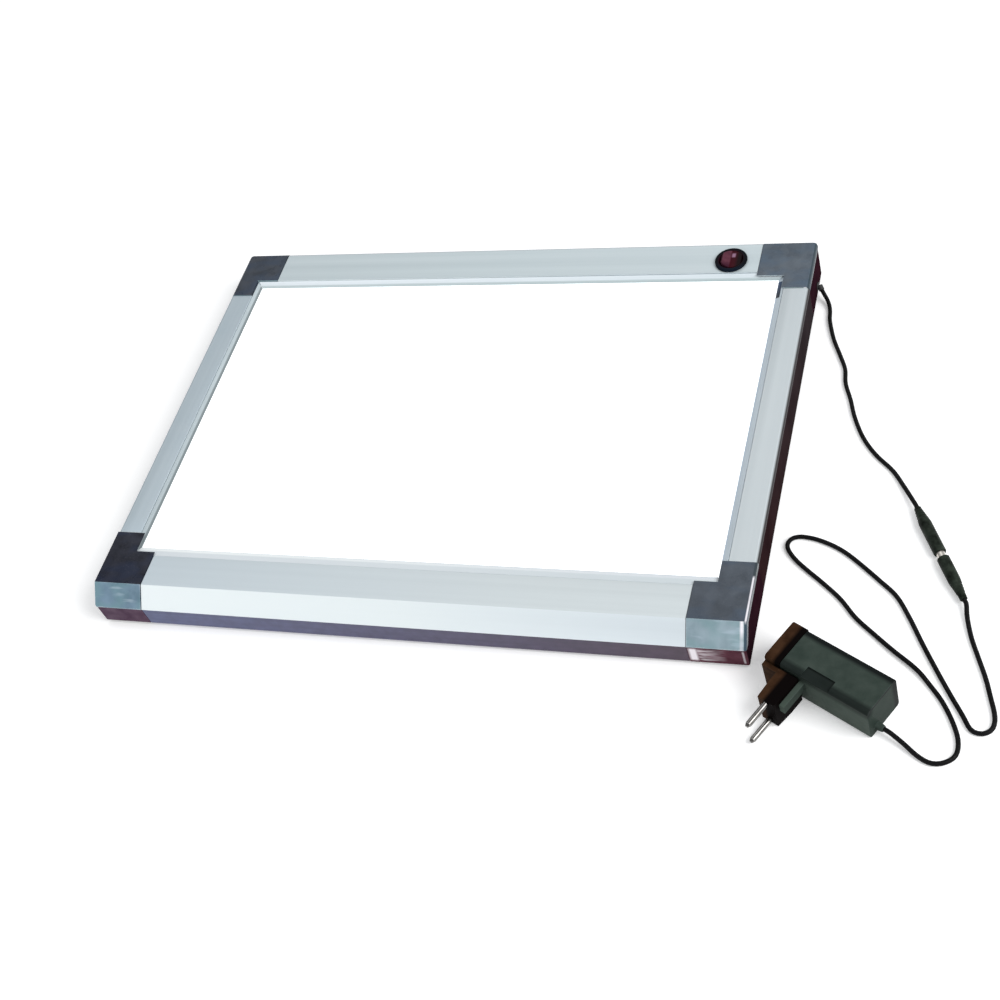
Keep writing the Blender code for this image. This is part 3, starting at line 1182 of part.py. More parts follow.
def make_leads():
    """The two free leads, and the wires inside the box."""
    out = gland_direction()
    start = nozzle_tip() + out * SEAT_GAP
    end = joint_point(-SEAT_GAP)
    heading = joint_heading()
    middle = [beside_box(point) for point in BOX_LEAD_ROUTE]
    route = [start, start + out * LEAD_END_RUN, *middle, end - heading * LEAD_END_RUN, end]
    points, length = smooth_route(route, BOX_LEAD_POINTS)
    lead("box_lead", points, LEAD_RADIUS, LEAD_BLACK)
    print("box lead length %.4f" % length)

    along = adapter_matrix().to_3x3() @ Vector((1, 0, 0))
    start = joint_point(plug_end() + SEAT_GAP)
    end = sleeve_tip() + along * SEAT_GAP
    middle = [beside_box(point) for point in ADAPTER_LEAD_ROUTE]
    route = [start, start + heading * LEAD_END_RUN, *middle, end + along * LEAD_END_RUN, end]
    points, length = smooth_route(route, ADAPTER_LEAD_POINTS)
    lead("adapter_lead", points, LEAD_RADIUS, LEAD_BLACK)
    print("adapter lead length %.4f" % length)

    make_inner_wires()


def make_inner_wires():
    """Lead tail from the gland to the board, two switch wires and the feed to the bus strip."""
    block_x = board_ends()[1] + SEAT_GAP
    block_z = feed_hole()[1]
    y = board_middle()
    gland_end = gland_face() - Vector((SKIRT_WALL + 3 * SEAT_GAP, 0, 0))
    clear_y = HALF_DEPTH - BACK_FACE + RAIL_WALL + 2 * LEAD_RADIUS
    boss_side = HALF_DEPTH - BOSS_INSET - BOSS_RADIUS - 2 * LEAD_RADIUS
    bend = Vector((-LEAD_END_RUN, 0, 0))
    lane_z = FLANGE_TOP + LEAD_RADIUS + SEAT_GAP
    tail_y = y - BOARD_BLOCK_WIDTH / 2 + 2 * LEAD_RADIUS
    tail_end = Vector((block_x, tail_y, block_z))
    tail = [gland_end, gland_end + bend, (HALF_WIDTH - 2 * BOSS_INSET, min(boss_side, clear_y), lane_z),
            (SWITCH_X + SWITCH_FLANGE_RADIUS, clear_y, lane_z), (SWITCH_X, clear_y, lane_z),
            tail_end - bend, tail_end]
    points, _ = smooth_route(tail, 2 * WIRE_POINTS)
    lead("lead_tail", points, LEAD_RADIUS, LEAD_BLACK)

    seat = switch_seat()
    blade_low = seat.z - SWITCH_BARREL_DEPTH - SEAT_GAP - TERMINAL_LENGTH
    run = 2 * WIRE_RADIUS
    for index, sx in enumerate((-1, 1), 1):
        x = seat.x + sx * TERMINAL_SPACING / 2
        start = Vector((x, y, blade_low - SEAT_GAP))
        side = y + (index - 0.5) * 2 * run
        end = Vector((block_x, side + run, block_z))
        mid_x = (x + block_x) / 2
        wire = [start, start - Vector((0, 0, run)), (x - 2 * run, (y + side) / 2, FLANGE_TOP + run),
                (mid_x, side, FLANGE_TOP + run), end + Vector((2 * run, 0, 0)), end]
        points, _ = smooth_route(wire, WIRE_POINTS)
        lead("switch_wire_%d" % index, points, WIRE_RADIUS, WIRE_RED)

    hole_x, hole_z = feed_hole()
    block_side = y - BOARD_BLOCK_WIDTH / 2 - SEAT_GAP
    bus_x = LED_BAR_LENGTH / 2 - BUS_END_MARGIN - BUS_WIDTH / 2
    last_bar = lit_middle() + (LED_BAR_COUNT - 1) / 2 * LED_BAR_PITCH
    bus_y = last_bar + LED_BAR_WIDTH / 2 + BUS_OVERHANG + SEAT_GAP
    bus_z = FLANGE_BOTTOM + REFLECTOR_THICKNESS + 2 * SEAT_GAP + LED_BAR_THICKNESS + BUS_THICKNESS / 2
    web_y = HALF_DEPTH - BACK_FACE
    feed = [(hole_x, block_side, hole_z), (hole_x, web_y, hole_z), (hole_x + run, web_y - 3 * run, hole_z),
            (bus_x - 4 * run, web_y - 5 * run, bus_z + run), (bus_x, bus_y + 3 * run, bus_z),
            (bus_x, bus_y, bus_z)]
    points, _ = smooth_route(feed, 2 * WIRE_POINTS)
    lead("feed_wire", points, WIRE_RADIUS, WIRE_RED)


def build():
    make_rails()
    make_beads()
    make_skirts()
    make_caps()
    make_boots()
    make_base()
    make_screws()
    make_panel()
    make_light_source()
    make_switch()
    make_rocker()
    make_board()
    make_gland()
    make_inline_joint()
    make_adapter()
    make_leads()


build()
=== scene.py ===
import math
import bmesh
import bpy
from mathutils import Matrix, Vector


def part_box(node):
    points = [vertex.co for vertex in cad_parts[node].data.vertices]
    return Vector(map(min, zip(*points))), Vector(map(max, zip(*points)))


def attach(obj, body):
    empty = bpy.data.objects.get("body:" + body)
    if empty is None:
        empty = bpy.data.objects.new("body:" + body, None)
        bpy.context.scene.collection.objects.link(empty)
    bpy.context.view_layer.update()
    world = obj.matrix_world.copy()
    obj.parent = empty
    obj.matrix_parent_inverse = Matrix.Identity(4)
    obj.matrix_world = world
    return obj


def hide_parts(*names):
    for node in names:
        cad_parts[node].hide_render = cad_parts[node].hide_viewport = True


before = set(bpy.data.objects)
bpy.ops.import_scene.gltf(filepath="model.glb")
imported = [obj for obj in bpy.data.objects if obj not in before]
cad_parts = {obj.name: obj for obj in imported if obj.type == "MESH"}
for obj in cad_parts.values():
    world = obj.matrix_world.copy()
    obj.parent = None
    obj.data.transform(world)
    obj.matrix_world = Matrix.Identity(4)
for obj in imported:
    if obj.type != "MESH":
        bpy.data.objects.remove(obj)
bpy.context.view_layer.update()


MM = 0.001


def in_scene(name, data):
    """Put new data in the scene as an object."""
    thing = bpy.data.objects.new(name, data)
    bpy.context.scene.collection.objects.link(thing)
    return thing


# Camera, at the photo's viewing angle
CAMERA_PLACE = (0.43169, -0.68144, 0.82619)
CAMERA_RIGHT = Vector((0.93419, 0.24425, -0.26005))
CAMERA_DOWN = Vector((0.03366, -0.78599, -0.61732))
CAMERA_AHEAD = Vector((-0.35518, 0.56794, -0.74249))
LENS_MM = 56.648
FILM_MM = 36

lens = bpy.data.cameras.new("view_of_photo")
lens.lens = LENS_MM
lens.sensor_width = FILM_MM
camera = in_scene("view_of_photo", lens)
turn = Matrix((CAMERA_RIGHT, -CAMERA_DOWN, -CAMERA_AHEAD)).transposed().to_4x4()
turn.translation = CAMERA_PLACE
camera.matrix_world = turn
bpy.context.scene.camera = camera
bpy.context.scene.view_settings.view_transform = "Standard"

# Leads, on the route that their solids follow
LEAD_RADIUS = 1.5 * MM
LEAD_STEP = 2.5 * MM
LEAD_ROUNDNESS = 5
STEPS_BETWEEN_POINTS = 12
BOX_LEAD_ROUTE = (
    (0.23834, 0.14805, 0.00721), (0.24013, 0.14540, 0.00579),
    (0.2427, 0.1416, 0.0036), (0.2447, 0.1366, 0.0021), (0.2457, 0.1308, 0.0016),
    (0.2467, 0.1222, 0.0016), (0.2515, 0.1048, 0.0016), (0.2583, 0.0880, 0.0016),
    (0.2630, 0.0755, 0.0016), (0.2650, 0.0620, 0.0016), (0.2701, 0.0470, 0.0016),
    (0.2748, 0.0310, 0.0016), (0.2825, 0.0130, 0.0016), (0.2923, -0.0015, 0.0016),
    (0.3045, -0.0145, 0.0016), (0.3128, -0.0275, 0.0022), (0.32192, -0.04389, 0.0041),
    (0.32347, -0.04703, 0.0041), (0.32792, -0.05607, 0.0041), (0.33243, -0.06525, 0.0041),
)
ADAPTER_LEAD_ROUTE = (
    (0.35751, -0.11621, 0.0041), (0.35905, -0.11935, 0.0041), (0.36, -0.1275, 0.0026),
    (0.3633, -0.1412, 0.0016), (0.3682, -0.155, 0.0016), (0.3735, -0.1696, 0.0016),
    (0.3774, -0.1835, 0.0016), (0.3797, -0.192, 0.0016), (0.3804, -0.1985, 0.0016),
    (0.379, -0.2038, 0.0016), (0.3748, -0.2067, 0.0016), (0.3701, -0.2064, 0.0016),
    (0.3667, -0.2037, 0.0016), (0.3623, -0.1957, 0.0016), (0.3545, -0.1826, 0.0016),
    (0.3455, -0.1667, 0.0016), (0.3355, -0.1482, 0.0016), (0.3262, -0.13, 0.0016),
    (0.317, -0.1147, 0.0016), (0.3055, -0.1035, 0.0016), (0.2941, -0.0931, 0.0016),
    (0.283, -0.0838, 0.0016), (0.2734, -0.0779, 0.0016), (0.2635, -0.0738, 0.0016),
    (0.2565, -0.0722, 0.0016), (0.2512, -0.0719, 0.0016), (0.2465, -0.0737, 0.0016),
    (0.2443, -0.0778, 0.0016), (0.2454, -0.0828, 0.0016), (0.251, -0.0903, 0.0016),
    (0.2591, -0.0978, 0.0016), (0.2708, -0.1077, 0.0016), (0.283, -0.119, 0.0016),
    (0.2938, -0.1322, 0.0016), (0.3056, -0.143, 0.0016), (0.3187, -0.1547, 0.0022),
    (0.3335, -0.1668, 0.0022), (0.342, -0.1765, 0.0016), (0.3505, -0.188, 0.0016),
    (0.3575, -0.2015, 0.0016), (0.3612, -0.213, 0.0016), (0.3605, -0.2225, 0.0016),
    (0.3545, -0.2278, 0.0016), (0.347, -0.2288, 0.0017), (0.3395, -0.2252, 0.0021),
    (0.331, -0.2185, 0.0034), (0.3229, -0.21293, 0.005), (0.31983, -0.21125, 0.005),
    (0.3093, -0.20549, 0.005), (0.29878, -0.19972, 0.005), (0.28825, -0.19396, 0.005),
)


def evened(points, step):
    """Round off a route through its points and space new points evenly on it."""
    stops = [Vector(point) for point in points]
    stops = [stops[0] * 2 - stops[1]] + stops + [stops[-1] * 2 - stops[-2]]
    fine = []
    for before, start, end, after in zip(stops, stops[1:], stops[2:], stops[3:]):
        for index in range(STEPS_BETWEEN_POINTS):
            t = index / STEPS_BETWEEN_POINTS
            fine.append(0.5 * (start * 2 + (end - before) * t
                               + (before * 2 - start * 5 + end * 4 - after) * t * t
                               + (start * 3 - before - end * 3 + after) * t * t * t))
    fine.append(stops[-2])
    runs = [(b - a).length for a, b in zip(fine, fine[1:])]
    count = max(2, round(sum(runs) / step))
    even, gone, place = [fine[0]], 0.0, 0
    for index in range(1, count):
        goal = sum(runs) * index / count
        while gone + runs[place] < goal:
            gone += runs[place]
            place += 1
        even.append(fine[place].lerp(fine[place + 1], (goal - gone) / runs[place]))
    return even + [fine[-1]]


def lead(name, route):
    """Lay one round vinyl lead along its route."""
    data = bpy.data.curves.new(name, "CURVE")
    data.dimensions = "3D"
    data.bevel_depth = LEAD_RADIUS
    data.bevel_resolution = LEAD_ROUNDNESS
    data.use_fill_caps = True
    points = evened(route, LEAD_STEP)
    spline = data.splines.new("POLY")
    spline.points.add(len(points) - 1)
    for place, point in zip(spline.points, points):
        place.co = (*point, 1.0)
    spline.use_smooth = True
    return in_scene(name, data)


box_cord = lead("box_cord", BOX_LEAD_ROUTE)
adapter_cord = lead("adapter_cord", ADAPTER_LEAD_ROUTE)


# Node helpers
def feed(tree, socket, value):
    """Give a socket a link or a plain value."""
    if isinstance(value, bpy.types.NodeSocket):
        tree.links.new(value, socket)
    else:
        socket.default_value = value


def add(tree, kind, **inputs):
    """Put a node in a tree and feed its inputs by name."""
    node = tree.nodes.new(kind)
    for label, value in inputs.items():
        feed(tree, node.inputs[label.replace("_", " ")], value)
    return node


def maths(tree, operation, first, second=None, clamp=False):
    """Reckon with one or two values that change over the surface."""
    node = tree.nodes.new("ShaderNodeMath")
    node.operation = operation
    node.use_clamp = clamp
    feed(tree, node.inputs[0], first)
    if second is not None:
        feed(tree, node.inputs[1], second)
    return node.outputs[0]


def times(tree, product, *others):
    """Multiply values that change over the surface."""
    for other in others:
        product = maths(tree, "MULTIPLY", product, other)
    return product


def tint(tree, amount, first, second):
    """Mix two colours by an amount."""
    node = tree.nodes.new("ShaderNodeMix")
    node.data_type = "RGBA"
    for index, value in ((0, amount), (6, first), (7, second)):
        feed(tree, node.inputs[index], (*value, 1.0) if isinstance(value, tuple) else value)
    return node.outputs[2]


def spread(tree, value, low, high, to_low=0.0, to_high=1.0):
    """Stretch a value from one range to another."""
    node = add(tree, "ShaderNodeMapRange", Value=value, From_Min=low, From_Max=high,
               To_Min=to_low, To_Max=to_high)
    return node.outputs[0]


def between(tree, share, low, high):
    """Give a value that goes from low to high as a share goes from nought to one."""
    return spread(tree, share, 0.0, 1.0, low, high)


def window(tree, value, low, high, soft):
    """One between two values, nought outside them, with soft ends."""
    return times(tree, spread(tree, value, low - soft, low), spread(tree, value, high + soft, high))


def split(tree, vector):
    """Give the three values of a vector, under X, Y and Z."""
    node = tree.nodes.new("ShaderNodeSeparateXYZ")
    tree.links.new(vector, node.inputs[0])
    return node.outputs


def object_place(tree):
    """Give the place on the object."""
    return tree.nodes.new("ShaderNodeTexCoord").outputs["Object"]


def scaled_place(tree, scale):
    """Give the place on the object times a scale along each axis."""
    node = tree.nodes.new("ShaderNodeVectorMath")
    node.operation = "MULTIPLY"
    tree.links.new(object_place(tree), node.inputs[0])
    feed(tree, node.inputs[1], scale)
    return node.outputs[0]


def facing(tree, axis):
    """Give how far the surface faces along an axis."""
    true = tree.nodes.new("ShaderNodeNewGeometry")
    return split(tree, true.outputs["Normal"])[axis]


def noise(tree, vector, scale, detail, roughness=0.5, distortion=0.0):
    """Give a cloudy value that changes over the surface."""
    node = add(tree, "ShaderNodeTexNoise", Vector=vector, Scale=scale, Detail=detail,
               Roughness=roughness, Distortion=distortion)
    return node.outputs[0]


def places(node, side, axis, *gaps):
    """Give places along an axis, in millimetres from a CAD node's low side, middle or high side."""
    low, high = (corner["XYZ".index(axis)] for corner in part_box(node))
    start = {"low": low, "middle": (low + high) / 2, "high": high}[side]
    return [start + gap * MM for gap in gaps]


def past(tree, node, side, axis, start, end, to_low=0.0, to_high=1.0):
    """A mask that changes between two places, in millimetres from a side or the middle of a CAD node."""
    along = split(tree, object_place(tree))[axis]
    return spread(tree, along, *places(node, side, axis, start, end), to_low, to_high)


def band(tree, node, side, axis, start, end, soft):
    """A mask with soft ends between two places, in millimetres from a side or the middle of a node."""
    along = split(tree, object_place(tree))[axis]
    return window(tree, along, *places(node, side, axis, start, end), soft * MM)


# Shared effects
def effect(name, takes, gives):
    """Start a shared effect as a group with named inputs and outputs."""
    tree = bpy.data.node_groups.new(name, "ShaderNodeTree")
    for label, value in takes.items():
        kind = "NodeSocketVector" if isinstance(value, tuple) else "NodeSocketFloat"
        socket = tree.interface.new_socket(label, in_out="INPUT", socket_type=kind)
        socket.default_value = value
    for label in gives:
        tree.interface.new_socket(label, in_out="OUTPUT", socket_type="NodeSocketFloat")
    return tree, tree.nodes.new("NodeGroupInput").outputs, tree.nodes.new("NodeGroupOutput").inputs


def placed(tree, group, **values):
    """Put a shared effect in a tree with its own values."""
    node = tree.nodes.new("ShaderNodeGroup")
    node.node_tree = group
    for label, value in values.items():
        node.inputs[label.replace("_", " ")].default_value = value
    return node.outputs


def make_moulded_grain():
    """A fine spark grain as on moulded plastic, with slow changes of tone."""
    tree, take, give = effect("moulded_grain", {"Grains per metre": 2600.0, "Clouds per metre": 35.0},
                              ("Height", "Tone"))
    clouds = noise(tree, object_place(tree), take["Clouds per metre"], 4.0, 0.55)
    feed(tree, give["Height"], noise(tree, object_place(tree), take["Grains per metre"], 3.0, 0.6))
    feed(tree, give["Tone"], spread(tree, clouds, 0.3, 0.7))
    return tree


def make_rubbed_edges():
    """A mask of the edges where hands and sleeves rub."""
    tree, take, give = effect("rubbed_edges", {"Width": 0.6 * MM, "Patches per metre": 120.0}, ("Mask",))
    soft = add(tree, "ShaderNodeBevel", Radius=take["Width"])
    soft.samples = 4
    true = tree.nodes.new("ShaderNodeNewGeometry")
    likeness = tree.nodes.new("ShaderNodeVectorMath")
    likeness.operation = "DOT_PRODUCT"
    tree.links.new(soft.outputs[0], likeness.inputs[0])
    tree.links.new(true.outputs["Normal"], likeness.inputs[1])
    edge = spread(tree, likeness.outputs["Value"], 0.995, 0.86)
    patch = noise(tree, object_place(tree), take["Patches per metre"], 3.0)
    feed(tree, give["Mask"], times(tree, edge, spread(tree, patch, 0.3, 0.62)))
    return tree


def make_drawn_lines():
    """The long fine lines that an extrusion die leaves."""
    tree, take, give = effect("drawn_lines", {"Lines": (2.0, 1400.0, 1400.0), "Streaks": (1.2, 130.0, 130.0)},
                              ("Height", "Tone"))
    streaks = noise(tree, scaled_place(tree, take["Streaks"]), 1.0, 3.0)
    feed(tree, give["Height"], noise(tree, scaled_place(tree, take["Lines"]), 1.0, 2.0))
    feed(tree, give["Tone"], spread(tree, streaks, 0.32, 0.68))
    return tree


def make_handling_marks():
    """Faint smears and fine scratches that change how a surface shines."""
    tree, take, give = effect("handling_marks", {"Smears per metre": 22.0, "Scratches per metre": 60.0},
                              ("Smear", "Scratch"))
    smear = noise(tree, object_place(tree), take["Smears per metre"], 5.0, distortion=1.2)
    across = scaled_place(tree, (1.0, 14.0, 1.0))
    scratch = noise(tree, across, take["Scratches per metre"], 2.0, distortion=0.6)
    feed(tree, give["Smear"], spread(tree, smear, 0.3, 0.7))
    feed(tree, give["Scratch"], spread(tree, scratch, 0.70, 0.78))
    return tree


def make_settled_dust():
    """A thin film of dust on what faces up."""
    tree, take, give = effect("settled_dust", {"Specks per metre": 900.0}, ("Mask",))
    speck = noise(tree, object_place(tree), take["Specks per metre"], 2.0)
    up = spread(tree, facing(tree, "Z"), 0.4, 1.0)
    feed(tree, give["Mask"], times(tree, up, spread(tree, speck, 0.58, 0.74)))
    return tree


def make_slate_mottle():
    """Soft patches of tone and hue, and a slow drift of tone from one corner to the other."""
    tree, take, give = effect("slate_mottle", {"Patches per metre": 95.0, "Drift": (1.25, 1.15, 0.0)},
                              ("Patch", "Drift", "Hue"))
    patch = noise(tree, object_place(tree), take["Patches per metre"], 2.0, distortion=0.2)
    broader = times(tree, take["Patches per metre"], 0.6)
    hue = noise(tree, scaled_place(tree, (1.0, 1.7, 1.3)), broader, 1.0)
    drift = split(tree, scaled_place(tree, take["Drift"]))
    feed(tree, give["Patch"], spread(tree, patch, 0.30, 0.70))
    feed(tree, give["Drift"], maths(tree, "ADD", maths(tree, "ADD", drift["X"], drift["Y"]), 0.5, clamp=True))
    feed(tree, give["Hue"], spread(tree, hue, 0.42, 0.68))
    return tree


MOULDED_GRAIN = make_moulded_grain()
RUBBED_EDGES = make_rubbed_edges()
DRAWN_LINES = make_drawn_lines()
HANDLING_MARKS = make_handling_marks()
SETTLED_DUST = make_settled_dust()
SLATE_MOTTLE = make_slate_mottle()


# Finishes
def surface(name, **numbers):
    """Start a material and give its shader what is the same all over."""
    material = bpy.data.materials.new(name)
    material.use_nodes = True
    tree = material.node_tree
    shader = tree.nodes["Principled BSDF"]
    for label, value in numbers.items():
        shader.inputs[label.replace("_", " ")].default_value = value
    return material, tree, shader


def laid(tree, colour, mask, tone, amount=None):
    """Lay a tone over a colour where a mask says so, in full or by an amount."""
    return tint(tree, mask if amount is None else times(tree, mask, amount), colour, tone)


def rubbed(tree, colour, tone, amount, width=0.6 * MM):
    """Lay a tone on the edges that hands and sleeves rub."""
    return laid(tree, colour, placed(tree, RUBBED_EDGES, Width=width)["Mask"], tone, amount)


def completed(tree, shader, colour, roughness, height, depth):
    """Give the shader its colour, its roughness and its fine relief."""
    bump = add(tree, "ShaderNodeBump", Height=height, Distance=depth, Strength=1.0)
    for label, value in (("Base Color", colour), ("Roughness", roughness), ("Normal", bump.outputs[0])):
        tree.links.new(value, shader.inputs[label])


def moulded(name, deep, pale, worn_and_lit, rough, grains=2600.0, clouds=35.0, depth=0.02 * MM, dust=0.06, wear=0.5,
            **numbers):
    """A moulded plastic or rubber: grain, clouds of tone, rubbed edges, smears and dust."""
    material, tree, shader = surface(name, **numbers)
    grain = placed(tree, MOULDED_GRAIN, Grains_per_metre=grains, Clouds_per_metre=clouds)
    smear = placed(tree, HANDLING_MARKS)["Smear"]
    film = times(tree, placed(tree, SETTLED_DUST)["Mask"], dust)
    colour = rubbed(tree, tint(tree, grain["Tone"], deep, pale), worn_and_lit, wear)
    colour = laid(tree, colour, film, (0.55, 0.54, 0.52))
    shine = maths(tree, "ADD", between(tree, smear, *rough), film)
    completed(tree, shader, colour, shine, grain["Height"], depth)
    return material


def extruded(name, run, deep, pale):
    """Anodised aluminium: the die's lines and smears, painted shade on the right outer wall and back rim, a
    painted reflection towards the front left and a painted highlight on the front slope.
    """
    material, tree, shader = surface(name, Metallic=0.35)
    drawn = placed(tree, DRAWN_LINES, **run)
    marks = placed(tree, HANDLING_MARKS)
    colour = laid(tree, tint(tree, drawn["Tone"], deep, pale), marks["Smear"], (0.60, 0.62, 0.64), 0.12)
    colour = rubbed(tree, colour, (0.88, 0.90, 0.92), 0.7, 0.4 * MM)
    # Painted shade: the right rail's outer wall is made nearly black.
    wall = times(tree, spread(tree, facing(tree, "X"), 0.35, 0.75),
                 past(tree, "rail_right", "high", "X", -35, -25))
    colour = laid(tree, colour, wall, (0.030, 0.026, 0.028))
    # Painted shade along the back rail's rounded back rim.
    colour = laid(tree, colour, past(tree, "rail_back", "high", "Y", -1.9, -1.3), (0.30, 0.28, 0.31), 0.75)
    # Painted reflection: the rails turn bluer and a little darker towards the front left.
    painted_reflection = times(tree, past(tree, "rail_front", "high", "Y", 28, -12),
                 past(tree, "rail_front", "middle", "X", 100, -200))
    colour = laid(tree, colour, painted_reflection, (0.55, 0.645, 0.72), 0.5)
    # Painted highlight: the front slope is made paler, most of all towards the left.
    slope = times(tree, spread(tree, facing(tree, "Y"), -0.3, -0.5),
                  past(tree, "rail_front", "middle", "X", 200, -200, 0.26, 0.80))
    sheen = tint(tree, past(tree, "rail_front", "middle", "X", 200, 0), (0.75, 0.84, 0.94), (0.94, 1.0, 1.0))
    colour = laid(tree, colour, slope, sheen)
    shine = maths(tree, "SUBTRACT", between(tree, drawn["Tone"], 0.50, 0.60),
                  times(tree, marks["Scratch"], 0.08))
    completed(tree, shader, colour, shine, drawn["Height"], 0.006 * MM)
    return material


def bead(name, run, metal, left, right=None):
    """A bead's lip, wall and foot in tones of painted light and shade that drift from left to right, and a
    painted navy shadow near the back right cap.
    """
    material, tree, shader = surface(name)
    drawn = placed(tree, DRAWN_LINES, **run)
    smear = placed(tree, HANDLING_MARKS)["Smear"]
    drift = past(tree, "rail_front", "middle", "X", -150, 180)
    # Painted light and shade: a lit tone on the lip and shaded tones on the wall and foot.
    lip, wall, foot = (tint(tree, drift, here, there) for here, there in zip(left, right or left))
    upright = past(tree, "bead_front", "high", "Z", -1.0, -1.3)
    low = past(tree, "bead_front", "high", "Z", -1.3, -2.2)
    colour = tint(tree, upright, lip, tint(tree, low, wall, foot))
    colour = laid(tree, colour, drawn["Tone"], tint(tree, 0.35, wall, foot), 0.25)
    # Painted shadow: a navy wedge on the right bead beside the back right cap.
    painted_shadow = times(tree, band(tree, "bead_right", "low", "X", -1.8, 2.9, 0.4),
                 band(tree, "corner_cap_back_right", "low", "Y", 3.0, 18.5, 1.0))
    navy = tint(tree, past(tree, "corner_cap_back_right", "low", "Y", 17.0, 3.0),
                (0.030, 0.060, 0.130), (0.006, 0.008, 0.012))
    colour = laid(tree, colour, painted_shadow, navy, 0.95)
    tree.links.new(between(tree, upright, metal, 0.0), shader.inputs["Metallic"])
    completed(tree, shader, colour, between(tree, smear, 0.28, 0.40), drawn["Height"], 0.005 * MM)
    return material


def slate(name):
    """The corner caps' blue-grey: painted shade darkest at the front left, painted light on the slopes,
    painted highlights at the right.
    """
    material, tree, shader = surface(name, Coat_Weight=0.08, Coat_Roughness=0.15, Specular_IOR_Level=0.18)
    patch, drift, hue = placed(tree, SLATE_MOTTLE)
    grain = placed(tree, MOULDED_GRAIN, Grains_per_metre=1800.0, Clouds_per_metre=60.0)
    # Painted shade: the drift makes the caps darkest at the front left.
    deep = tint(tree, drift, (0.005, 0.005, 0.010), (0.062, 0.078, 0.098))
    pale = tint(tree, drift, (0.018, 0.018, 0.030), (0.100, 0.122, 0.146))
    blue = tint(tree, drift, (0.012, 0.018, 0.045), (0.060, 0.100, 0.150))
    colour = laid(tree, tint(tree, patch, deep, pale), hue, blue, 0.55)
    colour = rubbed(tree, colour, (0.005, 0.007, 0.014), 0.65, 1.0 * MM)
    # Painted light: the slopes are made paler and bluer, with pale streaks and paler edges, for the light in
    # front.
    lit_slope_deep = tint(tree, drift, (0.098, 0.174, 0.236), (0.252, 0.318, 0.341))
    lit_slope_pale = tint(tree, drift, (0.170, 0.262, 0.356), (0.346, 0.420, 0.437))
    worn_and_lit = laid(tree, tint(tree, patch, lit_slope_deep, lit_slope_pale), hue, (0.150, 0.290, 0.300), 0.45)
    streak = noise(tree, scaled_place(tree, (55.0, 260.0, 260.0)), 1.0, 2.0)
    worn_and_lit = laid(tree, worn_and_lit, spread(tree, streak, 0.56, 0.74, 0.0, 0.55), (0.400, 0.500, 0.580))
    worn_and_lit = rubbed(tree, worn_and_lit, (0.66, 0.72, 0.76), 0.75, 1.0 * MM)
    slope = spread(tree, facing(tree, "Y"), -0.25, -0.45)
    colour = laid(tree, colour, slope, worn_and_lit)
    cap = "corner_cap_front_right"
    # Painted shade: a dark blue strip at the right end of the front right cap's slope.
    side = past(tree, cap, "high", "X", -1.9, -1.6)
    colour = laid(tree, colour, times(tree, side, slope), (0.040, 0.072, 0.100))
    shadow = times(tree, side, past(tree, cap, "low", "Y", 46.3, 47.3))
    colour = laid(tree, colour, shadow, (0.020, 0.034, 0.040), 0.7)
    # Painted highlights: a pale line along the front right cap's right rim and a glint at the right end of
    # its slope.
    line = times(tree, band(tree, cap, "high", "X", -1.2, -0.7, 0.6),
                 band(tree, cap, "low", "Y", 13.8, 45.3, 2.2))
    glint = times(tree, slope, band(tree, cap, "high", "X", -3.7, -2.7, 1.0),
                  past(tree, cap, "high", "Z", -7.9, -3.9, 0.35, 1.0))
    painted_highlight = times(tree, maths(tree, "MAXIMUM", line, glint), between(tree, patch, 0.75, 1.0))
    colour = laid(tree, colour, painted_highlight, (0.88, 0.85, 0.90))
    colour = laid(tree, colour, placed(tree, SETTLED_DUST)["Mask"], (0.55, 0.55, 0.55), 0.03)
    completed(tree, shader, colour, between(tree, patch, 0.22, 0.38), grain["Height"], 0.012 * MM)
    return material


EVEN_REACH = (150 * MM, 90 * MM)  # how far from the middle the light stays even
LIT_REACH = (213.5 * MM, 132 * MM)
BAR_PITCH = 50 * MM


def opal(name):
    """The lit acrylic: nearly even light, a little less of it near the edges and between the bars."""
    material, tree, shader = surface(name, Roughness=0.3, IOR=1.49, Emission_Strength=1.0)
    place = split(tree, object_place(tree))
    rims = []
    for axis, even, lit in zip("XY", EVEN_REACH, LIT_REACH):
        rim = spread(tree, maths(tree, "ABSOLUTE", place[axis]), even, lit)
        rims.append(maths(tree, "POWER", rim, 3.0))
    rows = maths(tree, "COSINE", times(tree, place["Y"], 2 * math.pi / BAR_PITCH))
    fade = maths(tree, "SUBTRACT", maths(tree, "MAXIMUM", *rims), times(tree, rows, 0.06), clamp=True)
    light = tint(tree, fade, (0.98, 0.985, 0.985), (0.90, 0.925, 0.935))
    tree.links.new(light, shader.inputs["Emission Color"])
    smear = placed(tree, HANDLING_MARKS)["Smear"]
    colour = tint(tree, smear, (0.84, 0.85, 0.85), (0.88, 0.885, 0.885))
    tree.links.new(colour, shader.inputs["Base Color"])
    tree.links.new(between(tree, smear, 0.24, 0.36), shader.inputs["Roughness"])
    return material


